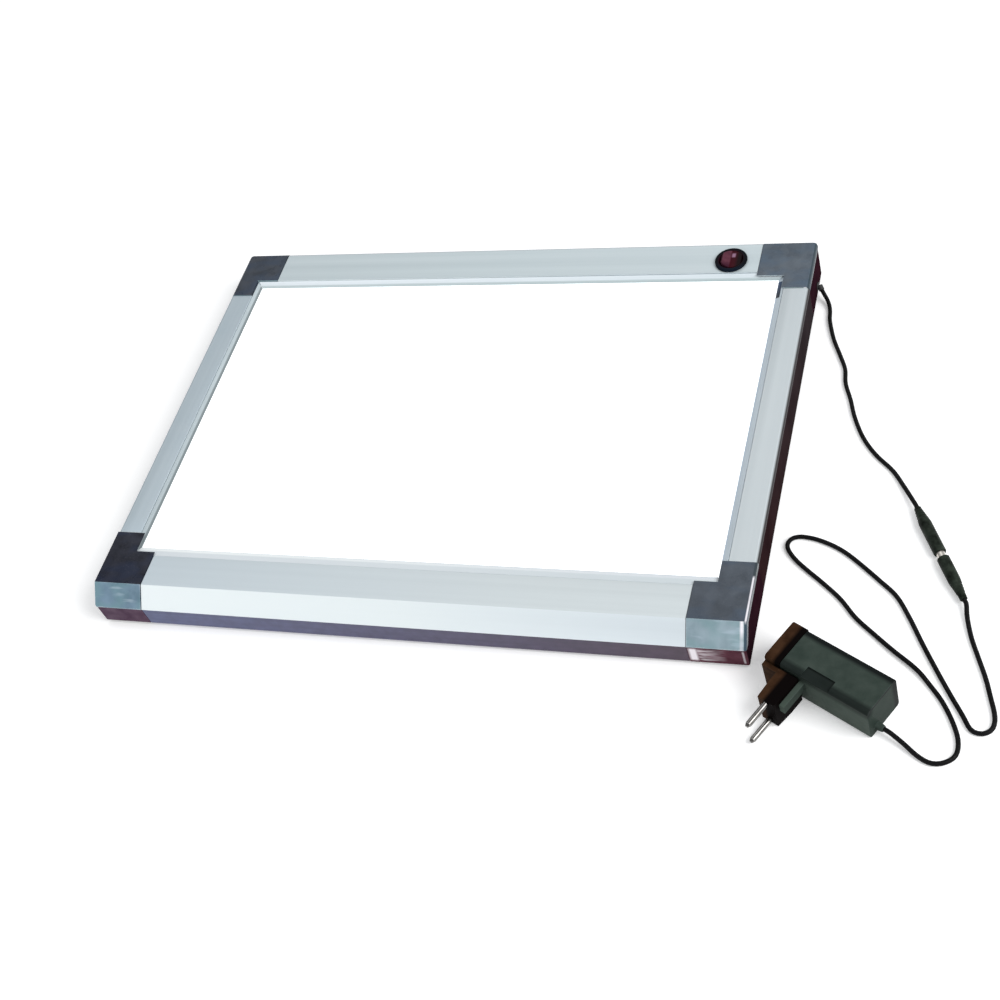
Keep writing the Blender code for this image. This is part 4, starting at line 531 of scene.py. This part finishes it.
def boot(name):
    """The corner boots: deep maroon, polished where they face forward, dull at the sides with painted shade,
    and a painted highlight on the front right boot.
    """
    material, tree, shader = surface(name, Specular_IOR_Level=0.0, Coat_Roughness=0.10)
    grain = placed(tree, MOULDED_GRAIN, Grains_per_metre=1500.0, Clouds_per_metre=90.0)
    # Painted reflection: the drift from red at the right to purple at the left.
    patch, drift, _ = placed(tree, SLATE_MOTTLE, Patches_per_metre=110.0, Drift=(-2.0, 0.0, 0.0))
    deep = tint(tree, drift, (0.060, 0.017, 0.026), (0.076, 0.044, 0.074))
    pale = tint(tree, drift, (0.120, 0.036, 0.054), (0.108, 0.066, 0.104))
    colour = rubbed(tree, tint(tree, patch, deep, pale), (0.30, 0.22, 0.27), 0.4, 0.4 * MM)
    # Painted shade: faces that don't face forward are made nearly black.
    ahead = spread(tree, facing(tree, "Y"), -0.3, -0.7)
    colour = tint(tree, ahead, tint(tree, 0.9, colour, (0.011, 0.004, 0.007)), colour)
    shoe = "corner_boot_front_right"
    # Painted highlight: a pale glare, streaked and fading to the right, on the front right boot's front face,
    # with a thin pale line near its right end.
    streak = noise(tree, scaled_place(tree, (90.0, 90.0, 700.0)), 1.0, 2.0)
    fading = times(tree, past(tree, shoe, "high", "X", -13.1, -29.6), spread(tree, streak, 0.36, 0.64),
                   past(tree, shoe, "low", "X", 3.0, 7.0), 0.62)
    glare = maths(tree, "MAXIMUM", fading, band(tree, shoe, "low", "X", 2.0, 4.8, 2.0))
    glare = maths(tree, "MAXIMUM", glare, times(tree, band(tree, shoe, "high", "X", -2.7, -2.3, 0.8), 0.6))
    painted_highlight = times(tree, glare, ahead, band(tree, shoe, "low", "Z", 3.0, 13.5, 2.0))
    colour = laid(tree, colour, painted_highlight, (0.88, 0.84, 0.88), 0.92)
    tree.links.new(times(tree, ahead, between(tree, patch, 0.05, 0.2)), shader.inputs["Coat Weight"])
    completed(tree, shader, colour, between(tree, grain["Tone"], 0.40, 0.55), grain["Height"], 0.006 * MM)
    return material


def rocker_red(name):
    """The rocker: maroon on its raised half, painted shade making the pressed half nearly black, one painted
    glint at the ridge.
    """
    material, tree, shader = surface(name, Specular_IOR_Level=0.025)
    grain = placed(tree, MOULDED_GRAIN, Clouds_per_metre=260.0)
    smear = placed(tree, HANDLING_MARKS)["Smear"]
    switch = ("switch_housing", "middle")
    colour = tint(tree, grain["Tone"], (0.078, 0.025, 0.039), (0.116, 0.038, 0.056))
    # Painted shade: darker towards the front, dark red then nearly black on the pressed half; the glint is a
    # painted highlight.
    colour = laid(tree, colour, past(tree, *switch, "Y", -2.5, -6.5, 0.0, 0.75), (0.030, 0.006, 0.016))
    colour = laid(tree, colour, band(tree, *switch, "X", 0.2, 6.0, 1.0), (0.038, 0.004, 0.008))
    colour = laid(tree, colour, past(tree, *switch, "X", 2.8, 5.6), (0.010, 0.005, 0.006))
    glint = times(tree, band(tree, *switch, "X", 0.9, 2.4, 1.0), band(tree, *switch, "Y", 2.7, 5.1, 1.4))
    colour = laid(tree, colour, glint, (0.32, 0.18, 0.27), 0.8)
    completed(tree, shader, colour, between(tree, smear, 0.16, 0.28), grain["Height"], 0.004 * MM)
    return material


WELL_RADIUS = 8.8 * MM


def switch_nylon(name):
    """The switch's black bezel, faintly navy in front; its well has a little of the rocker's red as a painted
    reflection.
    """
    material, tree, shader = surface(name, Specular_IOR_Level=0.04)
    grain = placed(tree, MOULDED_GRAIN)
    smear = placed(tree, HANDLING_MARKS)["Smear"]
    away = tree.nodes.new("ShaderNodeVectorMath")
    away.operation = "DISTANCE"
    tree.links.new(scaled_place(tree, (1.0, 1.0, 0.0)), away.inputs[0])
    away.inputs[1].default_value = (*(places("switch_housing", "middle", axis, 0)[0] for axis in "XY"), 0.0)
    # Painted reflection: the well takes a little of the rocker's red.
    well = spread(tree, away.outputs["Value"], WELL_RADIUS + 1.0 * MM, WELL_RADIUS)
    colour = tint(tree, grain["Tone"], (0.003, 0.003, 0.005), (0.007, 0.008, 0.012))
    front = past(tree, "switch_housing", "middle", "Y", -4.5, -10.5, 0.0, 0.8)
    colour = laid(tree, laid(tree, colour, front, (0.003, 0.008, 0.017)), well, (0.028, 0.006, 0.012))
    colour = rubbed(tree, colour, (0.03, 0.03, 0.035), 0.4, 0.4 * MM)
    completed(tree, shader, colour, between(tree, smear, 0.30, 0.42), grain["Height"], 0.010 * MM)
    return material


ADAPTER_CORNER = Vector((0.2622, -0.1545, 0.0))
ADAPTER_ALONG = Vector((0.87715, -0.48022, 0.0))


def on_adapter(tree):
    """Give the place on the adapter: along its body, across it and up."""
    turned = add(tree, "ShaderNodeMapping", Vector=object_place(tree), Location=ADAPTER_CORNER,
                 Rotation=(0.0, 0.0, math.atan2(ADAPTER_ALONG.y, ADAPTER_ALONG.x)))
    turned.vector_type = "TEXTURE"
    return split(tree, turned.outputs[0])


def adapter_grey(name):
    """The adapter's grey-green shell, paler on its near side as painted light, with painted shade on its end,
    along its far edge, in its step and in its finger grip.
    """
    material, tree, shader = surface(name, Specular_IOR_Level=0.03)
    across, up = on_adapter(tree)[1:]
    grain = placed(tree, MOULDED_GRAIN, Grains_per_metre=2200.0, Clouds_per_metre=110.0)
    smear = placed(tree, HANDLING_MARKS)["Smear"]
    colour = tint(tree, grain["Tone"], (0.026, 0.038, 0.032), (0.042, 0.056, 0.048))
    # Painted light: the near side is made paler.
    near_side = spread(tree, across, -28.5 * MM, -29.8 * MM)
    colour = laid(tree, colour, near_side, (0.062, 0.084, 0.068), 0.6)
    # Painted shade: the end face is made darker.
    lengthways = maths(tree, "ADD", times(tree, facing(tree, "X"), ADAPTER_ALONG.x),
                       times(tree, facing(tree, "Y"), ADAPTER_ALONG.y))
    colour = laid(tree, colour, spread(tree, lengthways, 0.5, 0.8), (0.019, 0.028, 0.023), 0.8)
    colour = rubbed(tree, colour, (0.12, 0.15, 0.15), 0.35, 0.5 * MM)
    # Painted shade along the far edge, in the step and in the finger grip.
    far_edge = spread(tree, across, -6.2 * MM, -3.6 * MM)
    step = maths(tree, "SUBTRACT", spread(tree, across, -23.5 * MM, -26.2 * MM),
                 spread(tree, across, -29.2 * MM, -30.4 * MM))
    step = times(tree, step, spread(tree, up, 20 * MM, 24 * MM))
    grip = times(tree, spread(tree, up, 27.2 * MM, 26.8 * MM), spread(tree, up, 25.2 * MM, 25.6 * MM), 0.8)
    dark = maths(tree, "MAXIMUM", far_edge, maths(tree, "MAXIMUM", times(tree, step, 0.75), grip))
    colour = laid(tree, colour, dark, (0.007, 0.009, 0.009))
    relief = maths(tree, "SUBTRACT", times(tree, grain["Height"], 0.06), step)
    completed(tree, shader, colour, between(tree, smear, 0.40, 0.56), relief, 0.3 * MM)
    return material


def cover_brown(name):
    """The slab and nose of the adapter: dark brown, with painted shade turning them black towards the body.
    """
    material, tree, shader = surface(name, Specular_IOR_Level=0.01)
    along, across = on_adapter(tree)[:2]
    grain = placed(tree, MOULDED_GRAIN, Grains_per_metre=2200.0, Clouds_per_metre=130.0)
    smear = placed(tree, HANDLING_MARKS)["Smear"]
    colour = tint(tree, grain["Tone"], (0.022, 0.010, 0.005), (0.052, 0.025, 0.013))
    colour = rubbed(tree, colour, (0.13, 0.08, 0.05), 0.4, 0.5 * MM)
    # Painted shade: the slab and nose turn black towards the body.
    slab = times(tree, spread(tree, along, 5.2 * MM, 7.8 * MM),
                 spread(tree, across, -31.2 * MM, -30.4 * MM))
    nose = times(tree, spread(tree, along, 15.0 * MM, 17.5 * MM),
                 spread(tree, across, -30.4 * MM, -31.2 * MM))
    colour = laid(tree, colour, maths(tree, "ADD", slab, nose, clamp=True), (0.003, 0.002, 0.002))
    completed(tree, shader, colour, between(tree, smear, 0.38, 0.54), grain["Height"], 0.02 * MM)
    return material


def side_skirt(name):
    """The side and back skirts: nearly black, with less red towards the back."""
    material, tree, shader = surface(name, Specular_IOR_Level=0.0)
    grain = placed(tree, MOULDED_GRAIN)
    smear = placed(tree, HANDLING_MARKS)["Smear"]
    drift = past(tree, "opal_panel", "middle", "Y", -113.6, 106.4)
    deep = tint(tree, drift, (0.015, 0.0065, 0.0075), (0.018, 0.0135, 0.015))
    pale = tint(tree, drift, (0.025, 0.0112, 0.0125), (0.027, 0.021, 0.023))
    colour = rubbed(tree, tint(tree, grain["Tone"], deep, pale), (0.08, 0.05, 0.06), 0.2, 0.4 * MM)
    completed(tree, shader, colour, between(tree, smear, 0.60, 0.75), grain["Height"], 0.008 * MM)
    return material


def plum(name):
    """The front skirt: blue-purple at the left, drifting to plum at the right as a painted reflection."""
    material, tree, shader = surface(name, Specular_IOR_Level=0.2)
    patch, drift, _ = placed(tree, SLATE_MOTTLE, Patches_per_metre=140.0, Drift=(2.1, 0.0, 0.0))
    drawn = placed(tree, DRAWN_LINES, Streaks=(8.0, 400.0, 400.0))
    # Painted reflection: the drift from blue-purple at the left to plum at the right.
    deep = tint(tree, drift, (0.104, 0.122, 0.226), (0.054, 0.031, 0.042))
    pale = tint(tree, drift, (0.146, 0.168, 0.298), (0.079, 0.048, 0.064))
    colour = laid(tree, tint(tree, patch, deep, pale), drawn["Tone"], (0.045, 0.035, 0.050), 0.2)
    colour = rubbed(tree, colour, (0.35, 0.34, 0.42), 0.5, 0.4 * MM)
    completed(tree, shader, colour, between(tree, patch, 0.42, 0.56), drawn["Height"], 0.006 * MM)
    return material


ALONG_X = dict(Lines=(2.0, 1400.0, 1400.0), Streaks=(1.2, 130.0, 130.0))
ALONG_Y = dict(Lines=(1400.0, 2.0, 1400.0), Streaks=(130.0, 1.2, 130.0))
METAL = dict(Metallic=1.0, dust=0.0)
FINISHES = {
    # The four rails share one anodised finish; their different tones are painted light and shade, darkest on
    # the left rail.
    "rail_front": extruded("anodised_rail_front", ALONG_X, (0.580, 0.635, 0.650), (0.650, 0.705, 0.720)),
    "rail_back": extruded("anodised_rail_back", ALONG_X, (0.487, 0.561, 0.585), (0.574, 0.648, 0.672)),
    "rail_left": extruded("anodised_rail_left", ALONG_Y, (0.380, 0.452, 0.497), (0.462, 0.537, 0.583)),
    "rail_right": extruded("anodised_rail_right", ALONG_Y, (0.49, 0.54, 0.56), (0.57, 0.62, 0.64)),
    # The four beads share one finish; their different tones are painted light and shade for the way each
    # faces.
    "bead_front": bead("bead_front", ALONG_X, 0.2,
                       ((0.700, 0.750, 0.784), (0.846, 0.884, 0.889), (0.720, 0.760, 0.775)),
                       ((0.580, 0.640, 0.665), (0.636, 0.670, 0.707), (0.530, 0.580, 0.606))),
    "bead_back": bead("bead_back", ALONG_X, 0.1,
                      ((0.84, 0.90, 0.95), (0.52, 0.60, 0.62), (0.45, 0.52, 0.53)),
                      ((0.66, 0.73, 0.77), (0.46, 0.54, 0.56), (0.26, 0.33, 0.34))),
    "bead_left": bead("bead_left", ALONG_Y, 0.4,
                      ((0.48, 0.55, 0.58), (0.19, 0.23, 0.24), (0.13, 0.15, 0.16))),
    "bead_right": bead("bead_right", ALONG_Y, 0.7,
                       ((0.68, 0.76, 0.81), (0.46, 0.53, 0.60), (0.34, 0.42, 0.50))),
    "cap": slate("slate_cap"),
    "boot": boot("maroon_boot"),
    "skirt": side_skirt("maroon_skirt"),
    "plum": plum("plum_skirt"),
    "opal": opal("opal_acrylic"),
    "steel": moulded("base_steel", (0.30, 0.30, 0.31), (0.38, 0.38, 0.39), (0.6, 0.6, 0.6), (0.40, 0.52),
                     grains=900.0, depth=0.01 * MM, **METAL),
    "rubber": moulded("foot_rubber", (0.012, 0.012, 0.013), (0.022, 0.022, 0.023), (0.06, 0.06, 0.06),
                      (0.62, 0.80), depth=0.03 * MM),
    "zinc": moulded("zinc_steel", (0.52, 0.52, 0.50), (0.62, 0.62, 0.60), (0.8, 0.8, 0.78), (0.28, 0.40),
                    depth=0.004 * MM, **METAL),
    "film": moulded("white_film", (0.86, 0.87, 0.87), (0.92, 0.92, 0.92), (0.95, 0.95, 0.95), (0.5, 0.6),
                    dust=0.0),
    "board": moulded("white_board", (0.80, 0.80, 0.78), (0.88, 0.88, 0.86), (0.6, 0.6, 0.5), (0.35, 0.5),
                     dust=0.0),
    "green": moulded("green_board", (0.010, 0.085, 0.035), (0.018, 0.120, 0.050), (0.2, 0.3, 0.15),
                     (0.25, 0.4), dust=0.0),
    "nylon": switch_nylon("switch_nylon"),
    "sleeve": moulded("inline_sleeve", (0.001, 0.002, 0.001), (0.027, 0.036, 0.027), (0.02, 0.03, 0.026),
                      (0.40, 0.52), clouds=170.0, depth=0.012 * MM, dust=0.02, wear=0.3,
                      Specular_IOR_Level=0.06),
    "red": rocker_red("rocker_red"),
    "brass": moulded("tinned_brass", (0.62, 0.58, 0.48), (0.72, 0.68, 0.58), (0.8, 0.78, 0.7), (0.25, 0.38),
                     **METAL),
    "vinyl": moulded("lead_vinyl", (0.003, 0.003, 0.003), (0.006, 0.006, 0.007), (0.02, 0.02, 0.02),
                     (0.42, 0.56), grains=3200.0, depth=0.012 * MM, dust=0.03, Specular_IOR_Level=0.08),
    "wire": moulded("wire_red", (0.35, 0.010, 0.010), (0.45, 0.020, 0.015), (0.5, 0.1, 0.1), (0.35, 0.5),
                    dust=0.0),
    "nickel": moulded("nickel", (0.70, 0.66, 0.60), (0.85, 0.81, 0.75), (0.9, 0.88, 0.84), (0.24, 0.36),
                      depth=0.002 * MM, **METAL),
    "pin": moulded("dull_nickel", (0.13, 0.125, 0.12), (0.26, 0.25, 0.24), (0.55, 0.54, 0.52), (0.14, 0.26),
                   clouds=160.0, depth=0.002 * MM, **METAL),
    "grey": adapter_grey("adapter_grey"),
    "brown": cover_brown("cover_brown"),
}


# Pieces
FLAT_SEAM = math.radians(0.4)  # faces that part by less are joined
EASED_EDGE = math.radians(40.0)  # edges that turn by more are eased
SHARP_EDGE = math.radians(34.0)  # edges that turn by more stay sharp in the shading
SHARP_THREAD = math.radians(30.0)
SHARP_TREAD = math.radians(60.0)
WELD_GAP = 0.001 * MM


def finished(piece, look, body, slot, *nodes):
    """Give a new piece its finish and its body, and hide the CAD nodes that it replaces; the slot is not
    used.
    """
    piece.data.materials.clear()
    piece.data.materials.append(FINISHES[look])
    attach(piece, body)
    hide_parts(*nodes)
    return piece


def smoothed(mesh, sharp):
    """Shade a mesh smooth but for the edges that turn by more than an angle."""
    for face in mesh.polygons:
        face.use_smooth = True
    mesh.set_sharp_from_angle(angle=sharp)


def merged_copy(node, name):
    """Copy a CAD node's mesh as a new piece, with its loose triangles joined and flat seams cleared."""
    shape = bmesh.new()
    shape.from_mesh(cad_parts[node].data)
    bmesh.ops.remove_doubles(shape, verts=shape.verts, dist=WELD_GAP)
    bmesh.ops.dissolve_limit(shape, angle_limit=FLAT_SEAM, verts=shape.verts, edges=shape.edges)
    mesh = bpy.data.meshes.new(name)
    shape.to_mesh(mesh)
    shape.free()
    smoothed(mesh, SHARP_EDGE)
    return in_scene(name, mesh)


def eased(piece, width, steps=2):
    """Ease a piece's edges as a tool or mould leaves them."""
    ease = piece.modifiers.new("eased edges", "BEVEL")
    ease.width = width
    ease.segments = steps
    ease.limit_method = "ANGLE"
    ease.angle_limit = EASED_EDGE
    ease.harden_normals = True
    return piece


# Pieces that are grown on the places of their solids
def growing(name, result, **sizes):
    """Start a geometry tree that grows one thing on every point, with named inputs for its sizes."""
    tree = bpy.data.node_groups.new(name, "GeometryNodeTree")
    tree.interface.new_socket("Places", in_out="INPUT", socket_type="NodeSocketGeometry")
    for label, value in sizes.items():
        kind = "NodeSocketInt" if isinstance(value, int) else "NodeSocketFloat"
        socket = tree.interface.new_socket(label.replace("_", " "), in_out="INPUT", socket_type=kind)
        socket.default_value = value
    tree.interface.new_socket(result, in_out="OUTPUT", socket_type="NodeSocketGeometry")
    return tree, tree.nodes.new("NodeGroupInput").outputs, tree.nodes.new("NodeGroupOutput").inputs


def turned_rod(tree, round_by, rows):
    """Give a closed unit rod, its share of the way up, its turn about Z and its unit directions."""
    rod = add(tree, "GeometryNodeMeshCylinder", Vertices=round_by, Side_Segments=rows, Radius=1.0, Depth=1.0)
    unit = split(tree, tree.nodes.new("GeometryNodeInputPosition").outputs[0])
    share = maths(tree, "ADD", unit["Z"], 0.5)
    turn = maths(tree, "DIVIDE", maths(tree, "ARCTAN2", unit["Y"], unit["X"]), 2 * math.pi)
    return rod.outputs[0], share, turn, unit


def shaped(tree, mesh, unit, radius, height):
    """Give each row of a unit rod its own radius and height."""
    place = add(tree, "ShaderNodeCombineXYZ", X=times(tree, unit["X"], radius),
                Y=times(tree, unit["Y"], radius), Z=height)
    return add(tree, "GeometryNodeSetPosition", Geometry=mesh, Position=place.outputs[0]).outputs[0]


def on_each_place(tree, spots, thing, turn, finish, give):
    """Put the thing on every point, make it real and give it its finish."""
    spin = add(tree, "ShaderNodeCombineXYZ", Z=turn)
    crowd = add(tree, "GeometryNodeInstanceOnPoints", Points=spots, Instance=thing, Rotation=spin.outputs[0])
    real = add(tree, "GeometryNodeRealizeInstances", Geometry=crowd.outputs[0])
    clad = add(tree, "GeometryNodeSetMaterial", Geometry=real.outputs[0], Material=FINISHES[finish])
    tree.links.new(clad.outputs[0], give[0])


SCREW_SIDES = 20
HEAD_ROWS = 8  # rows of the mesh that shape the head
CROWN_SHARE = 0.24  # how much the head's top draws in
TIP_LENGTH = 0.9 * MM
TIP_SHARE = 0.55  # the tip's radius against the shank's


def slotted_screws():
    """Pan-head screws with a driver slot and a thread that winds up the shank."""
    tree, take, give = growing("slotted_screws", "Screws", Head_radius=2.8 * MM, Head_height=1.3 * MM,
                               Shank_radius=1.4 * MM, Length=8.1 * MM, Thread_depth=0.32 * MM, Pitch=0.7 * MM,
                               Slot_width=0.6 * MM, Slot_depth=0.5 * MM, Rows=72, Turn_seed=3)
    head_radius, head_height, shank_radius, length, depth, pitch = take[1:7]
    slot_width, slot_depth, rows, seed = take[7:11]
    mesh, share, turn, unit = turned_rod(tree, SCREW_SIDES, rows)
    row = times(tree, share, rows)
    on_head = maths(tree, "LESS_THAN", row, HEAD_ROWS + 0.5)
    head_share = spread(tree, row, 0.0, HEAD_ROWS)
    crown = maths(tree, "POWER", maths(tree, "SUBTRACT", 1.0, head_share), 2.0)
    head = times(tree, head_radius, maths(tree, "SUBTRACT", 1.0, times(tree, crown, CROWN_SHARE)))
    shank_rows = maths(tree, "SUBTRACT", rows, HEAD_ROWS + 1.0)
    shank_row = maths(tree, "SUBTRACT", row, HEAD_ROWS + 1.0)
    shank_share = maths(tree, "DIVIDE", shank_row, shank_rows, clamp=True)
    shank_length = maths(tree, "SUBTRACT", length, head_height)
    climb = times(tree, shank_share, shank_length)
    winding = maths(tree, "ADD", turn, maths(tree, "DIVIDE", climb, pitch))
    ridge = times(tree, maths(tree, "PINGPONG", winding, 0.5), 2.0)
    groove = times(tree, depth, maths(tree, "SUBTRACT", 1.0, ridge))
    to_tip = maths(tree, "SUBTRACT", shank_length, climb)
    point = spread(tree, to_tip, 0.0, TIP_LENGTH, TIP_SHARE, 1.0)
    shank = times(tree, maths(tree, "SUBTRACT", shank_radius, groove), point)
    on_shank = maths(tree, "SUBTRACT", 1.0, on_head)
    radius = maths(tree, "ADD", times(tree, on_head, head), times(tree, on_shank, shank))
    height = maths(tree, "ADD", times(tree, head_share, head_height), climb)
    size = add(tree, "ShaderNodeCombineXYZ", X=times(tree, head_radius, 2.4), Y=slot_width,
               Z=times(tree, slot_depth, 2.0))
    slot = tree.nodes.new("GeometryNodeMeshBoolean")
    slot.operation = "DIFFERENCE"
    tree.links.new(shaped(tree, mesh, unit, radius, height), slot.inputs["Mesh 1"])
    tree.links.new(add(tree, "GeometryNodeMeshCube", Size=size.outputs[0]).outputs[0], slot.inputs["Mesh 2"])
    chance = add(tree, "FunctionNodeRandomValue", Seed=seed)
    chance.data_type = "FLOAT"
    least, most = [socket for socket in chance.inputs if socket.enabled][:2]
    least.default_value, most.default_value = 0.0, math.pi
    angle = [socket for socket in chance.outputs if socket.enabled][0]
    on_each_place(tree, take[0], slot.outputs[0], angle, "zinc", give)
    return tree


FOOT_SIDES = 48
FOOT_ROWS = 48
TREAD_SHARE = 32 / FOOT_ROWS  # the share of its rows that a foot has on its underside


def ringed_feet():
    """Round rubber feet with rings of tread on their undersides."""
    tree, take, give = growing("ringed_feet", "Feet", Tread_radius=6.8 * MM, Top_radius=8.0 * MM,
                               Height=4.6 * MM, Ring_depth=0.5 * MM, Rings=5, Middle_radius=0.9 * MM)
    tread_radius, top_radius, tall, ring_depth, rings, middle = take[1:7]
    mesh, share, _, unit = turned_rod(tree, FOOT_SIDES, FOOT_ROWS)
    under = spread(tree, share, 0.0, TREAD_SHARE)
    wall = spread(tree, share, TREAD_SHARE, 1.0)
    across = times(tree, under, maths(tree, "SUBTRACT", tread_radius, middle))
    flare = times(tree, wall, maths(tree, "SUBTRACT", top_radius, tread_radius))
    radius = maths(tree, "ADD", maths(tree, "ADD", middle, across), flare)
    wave = maths(tree, "COSINE", times(tree, under, rings, 2 * math.pi))
    ring = times(tree, maths(tree, "SUBTRACT", 1.0, wave), times(tree, ring_depth, 0.5))
    height = maths(tree, "ADD", ring, times(tree, wall, tall))
    on_each_place(tree, take[0], shaped(tree, mesh, unit, radius, height), 0.0, "rubber", give)
    return tree


def grown(name, tree, spots, sharp, **sizes):
    """Grow a tree's things on places and keep the result as one plain piece."""
    data = bpy.data.meshes.new(name)
    data.from_pydata(spots, [], [])
    piece = in_scene(name, data)
    growth = piece.modifiers.new("grown", "NODES")
    growth.node_group = tree
    for socket in tree.interface.items_tree:
        label = socket.name.replace(" ", "_")
        if label in sizes:
            growth[socket.identifier] = sizes[label]
    plain = bpy.data.meshes.new_from_object(piece.evaluated_get(bpy.context.evaluated_depsgraph_get()))
    piece.modifiers.clear()
    piece.data = plain
    plain.name = name
    smoothed(plain, sharp)
    return piece


def undersides(nodes):
    """Give the lowest middle point of each of some CAD nodes."""
    found = []
    for low, high in map(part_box, nodes):
        middle = (low + high) / 2
        found.append((middle.x, middle.y, low.z))
    return found


SIDES = ("front", "back", "left", "right")
CORNERS = ("front_left", "front_right", "back_left", "back_right")
DRESSED = [
    *((f"rail_{side}", f"rail_{side}", "frame_aluminium", 0.35) for side in SIDES),
    *((f"bead_{side}", f"bead_{side}", "bead_aluminium", 0.25) for side in SIDES),
    ("skirt_front", "plum", "skirt_plum", 0.25),
    *((f"skirt_{side}", "skirt", "boot_maroon", 0.25) for side in SIDES[1:]),
    *((f"corner_cap_{corner}", "cap", "cap_slate", 0.3) for corner in CORNERS),
    *((f"corner_boot_{corner}", "boot", "boot_maroon", 0.35) for corner in CORNERS),
    ("opal_panel", "opal", "opal_acrylic", 0.3),
    ("base_plate", "steel", "base_steel", 0.2),
    ("switch_housing", "nylon", "switch_nylon", 0.3),
    ("cord_gland", "rubber", "foot_rubber", 0.3),
    ("inline_socket", "sleeve", "switch_nylon", 0.3),
    ("inline_plug", "sleeve", "switch_nylon", 0.3),
    ("plug_barrel", "nickel", "nickel", 0.15),
    ("adapter_body", "grey", "adapter_grey", 0.4),
    ("adapter_cover", "brown", "cover_brown", 0.4),
    ("adapter_pin_1", "pin", "nickel", 0.3),
    ("adapter_pin_2", "pin", "nickel", 0.3),
]  # node, look, slot and the width of its eased edges in millimetres
for node, look, slot, ease in DRESSED:
    piece = eased(merged_copy(node, f"dressed_{node}"), ease * MM)
    finished(piece, look, "light_box", slot, node)

SCREWS = slotted_screws()
SCREW_GROUPS = (
    ("grown_rail_screws", range(1, 5), 8.1 * MM, 70),
    ("grown_corner_screws", range(5, 9), 22.9 * MM, 200),
)  # name, numbers of the nodes, length and rows of the thread's mesh
for name, numbers, length, rows in SCREW_GROUPS:
    nodes = [f"base_screw_{number}" for number in numbers]
    screws = grown(name, SCREWS, undersides(nodes), SHARP_THREAD, Length=length, Rows=rows)
    finished(screws, "zinc", "light_box", "zinc_steel", *nodes)
nodes = [f"foot_{number}" for number in range(1, 5)]
feet = grown("grown_feet", ringed_feet(), undersides(nodes), SHARP_TREAD)
finished(feet, "rubber", "light_box", "foot_rubber", *nodes)

rocker = eased(merged_copy("switch_rocker", "dressed_rocker"), 0.4 * MM, steps=3)
finished(rocker, "red", "rocker", "rocker_red", "switch_rocker")

finished(box_cord, "vinyl", "light_box", "lead_vinyl", "box_lead")
finished(adapter_cord, "vinyl", "light_box", "lead_vinyl", "adapter_lead")

HIDDEN = {
    "reflector_sheet": "film", "led_bus_strip": "board", "connection_board": "green", "lead_tail": "vinyl",
    "switch_terminal_1": "brass", "switch_terminal_2": "brass", "switch_wire_1": "wire",
    "switch_wire_2": "wire", "feed_wire": "wire",
    **{f"led_bar_{number}": "board" for number in range(1, 6)},
}
for node, look in HIDDEN.items():
    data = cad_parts[node].data
    data.materials.clear()
    data.materials.append(FINISHES[look])

# Floor and light
FLOOR_REACH = 6.0
LIT_POINT = Vector((0.08, -0.05, 0.0))
SOFTBOXES = (
    ("front_left_softbox", (-0.41, -0.74, 0.52), 2.2, (1.3, 0.8), 5),
    ("back_softbox", (-0.25, 0.62, 0.75), 2.6, (1.7, 1.2), 8),
    ("right_softbox", (0.85, -0.15, 0.75), 2.6, (1.6, 1.6), 60),
)  # name, direction, distance and size in metres, power in watts


def studio_floor():
    """A wide pale floor under the feet, which gives off a little light of its own."""
    corners = [(x * FLOOR_REACH, y * FLOOR_REACH, 0) for x, y in ((-1, -1), (1, -1), (1, 1), (-1, 1))]
    data = bpy.data.meshes.new("pale_floor")
    data.from_pydata(corners, [], [(0, 1, 2, 3)])
    material, tree, shader = surface("pale_floor", Roughness=0.9, Specular_IOR_Level=0.1,
                                     Emission_Color=(1.0, 1.0, 1.0, 1.0), Emission_Strength=0.25)
    cloud = noise(tree, object_place(tree), 3.0, 2.0)
    colour = tint(tree, cloud, (0.935, 0.935, 0.935), (0.95, 0.95, 0.95))
    tree.links.new(colour, shader.inputs["Base Color"])
    data.materials.append(material)
    in_scene("pale_floor", data)


def softbox(name, direction, distance, size, power):
    """Aim a square softbox at the light box from a direction."""
    data = bpy.data.lights.new(name, "AREA")
    data.shape = "RECTANGLE"
    data.size, data.size_y = size
    data.energy = power
    away = Vector(direction).normalized()
    aim = away.to_track_quat("Z", "Y").to_matrix().to_4x4()
    in_scene(name, data).matrix_world = Matrix.Translation(away * distance + LIT_POINT) @ aim


def studio_air(colour, strength):
    """Light everything evenly from all round."""
    world = bpy.data.worlds.new("pale_studio")
    world.use_nodes = True
    background = world.node_tree.nodes["Background"]
    background.inputs["Color"].default_value = colour
    background.inputs["Strength"].default_value = strength
    bpy.context.scene.world = world


studio_air((0.93, 0.95, 0.97, 1.0), 0.5)
studio_floor()
for row in SOFTBOXES:
    softbox(*row)
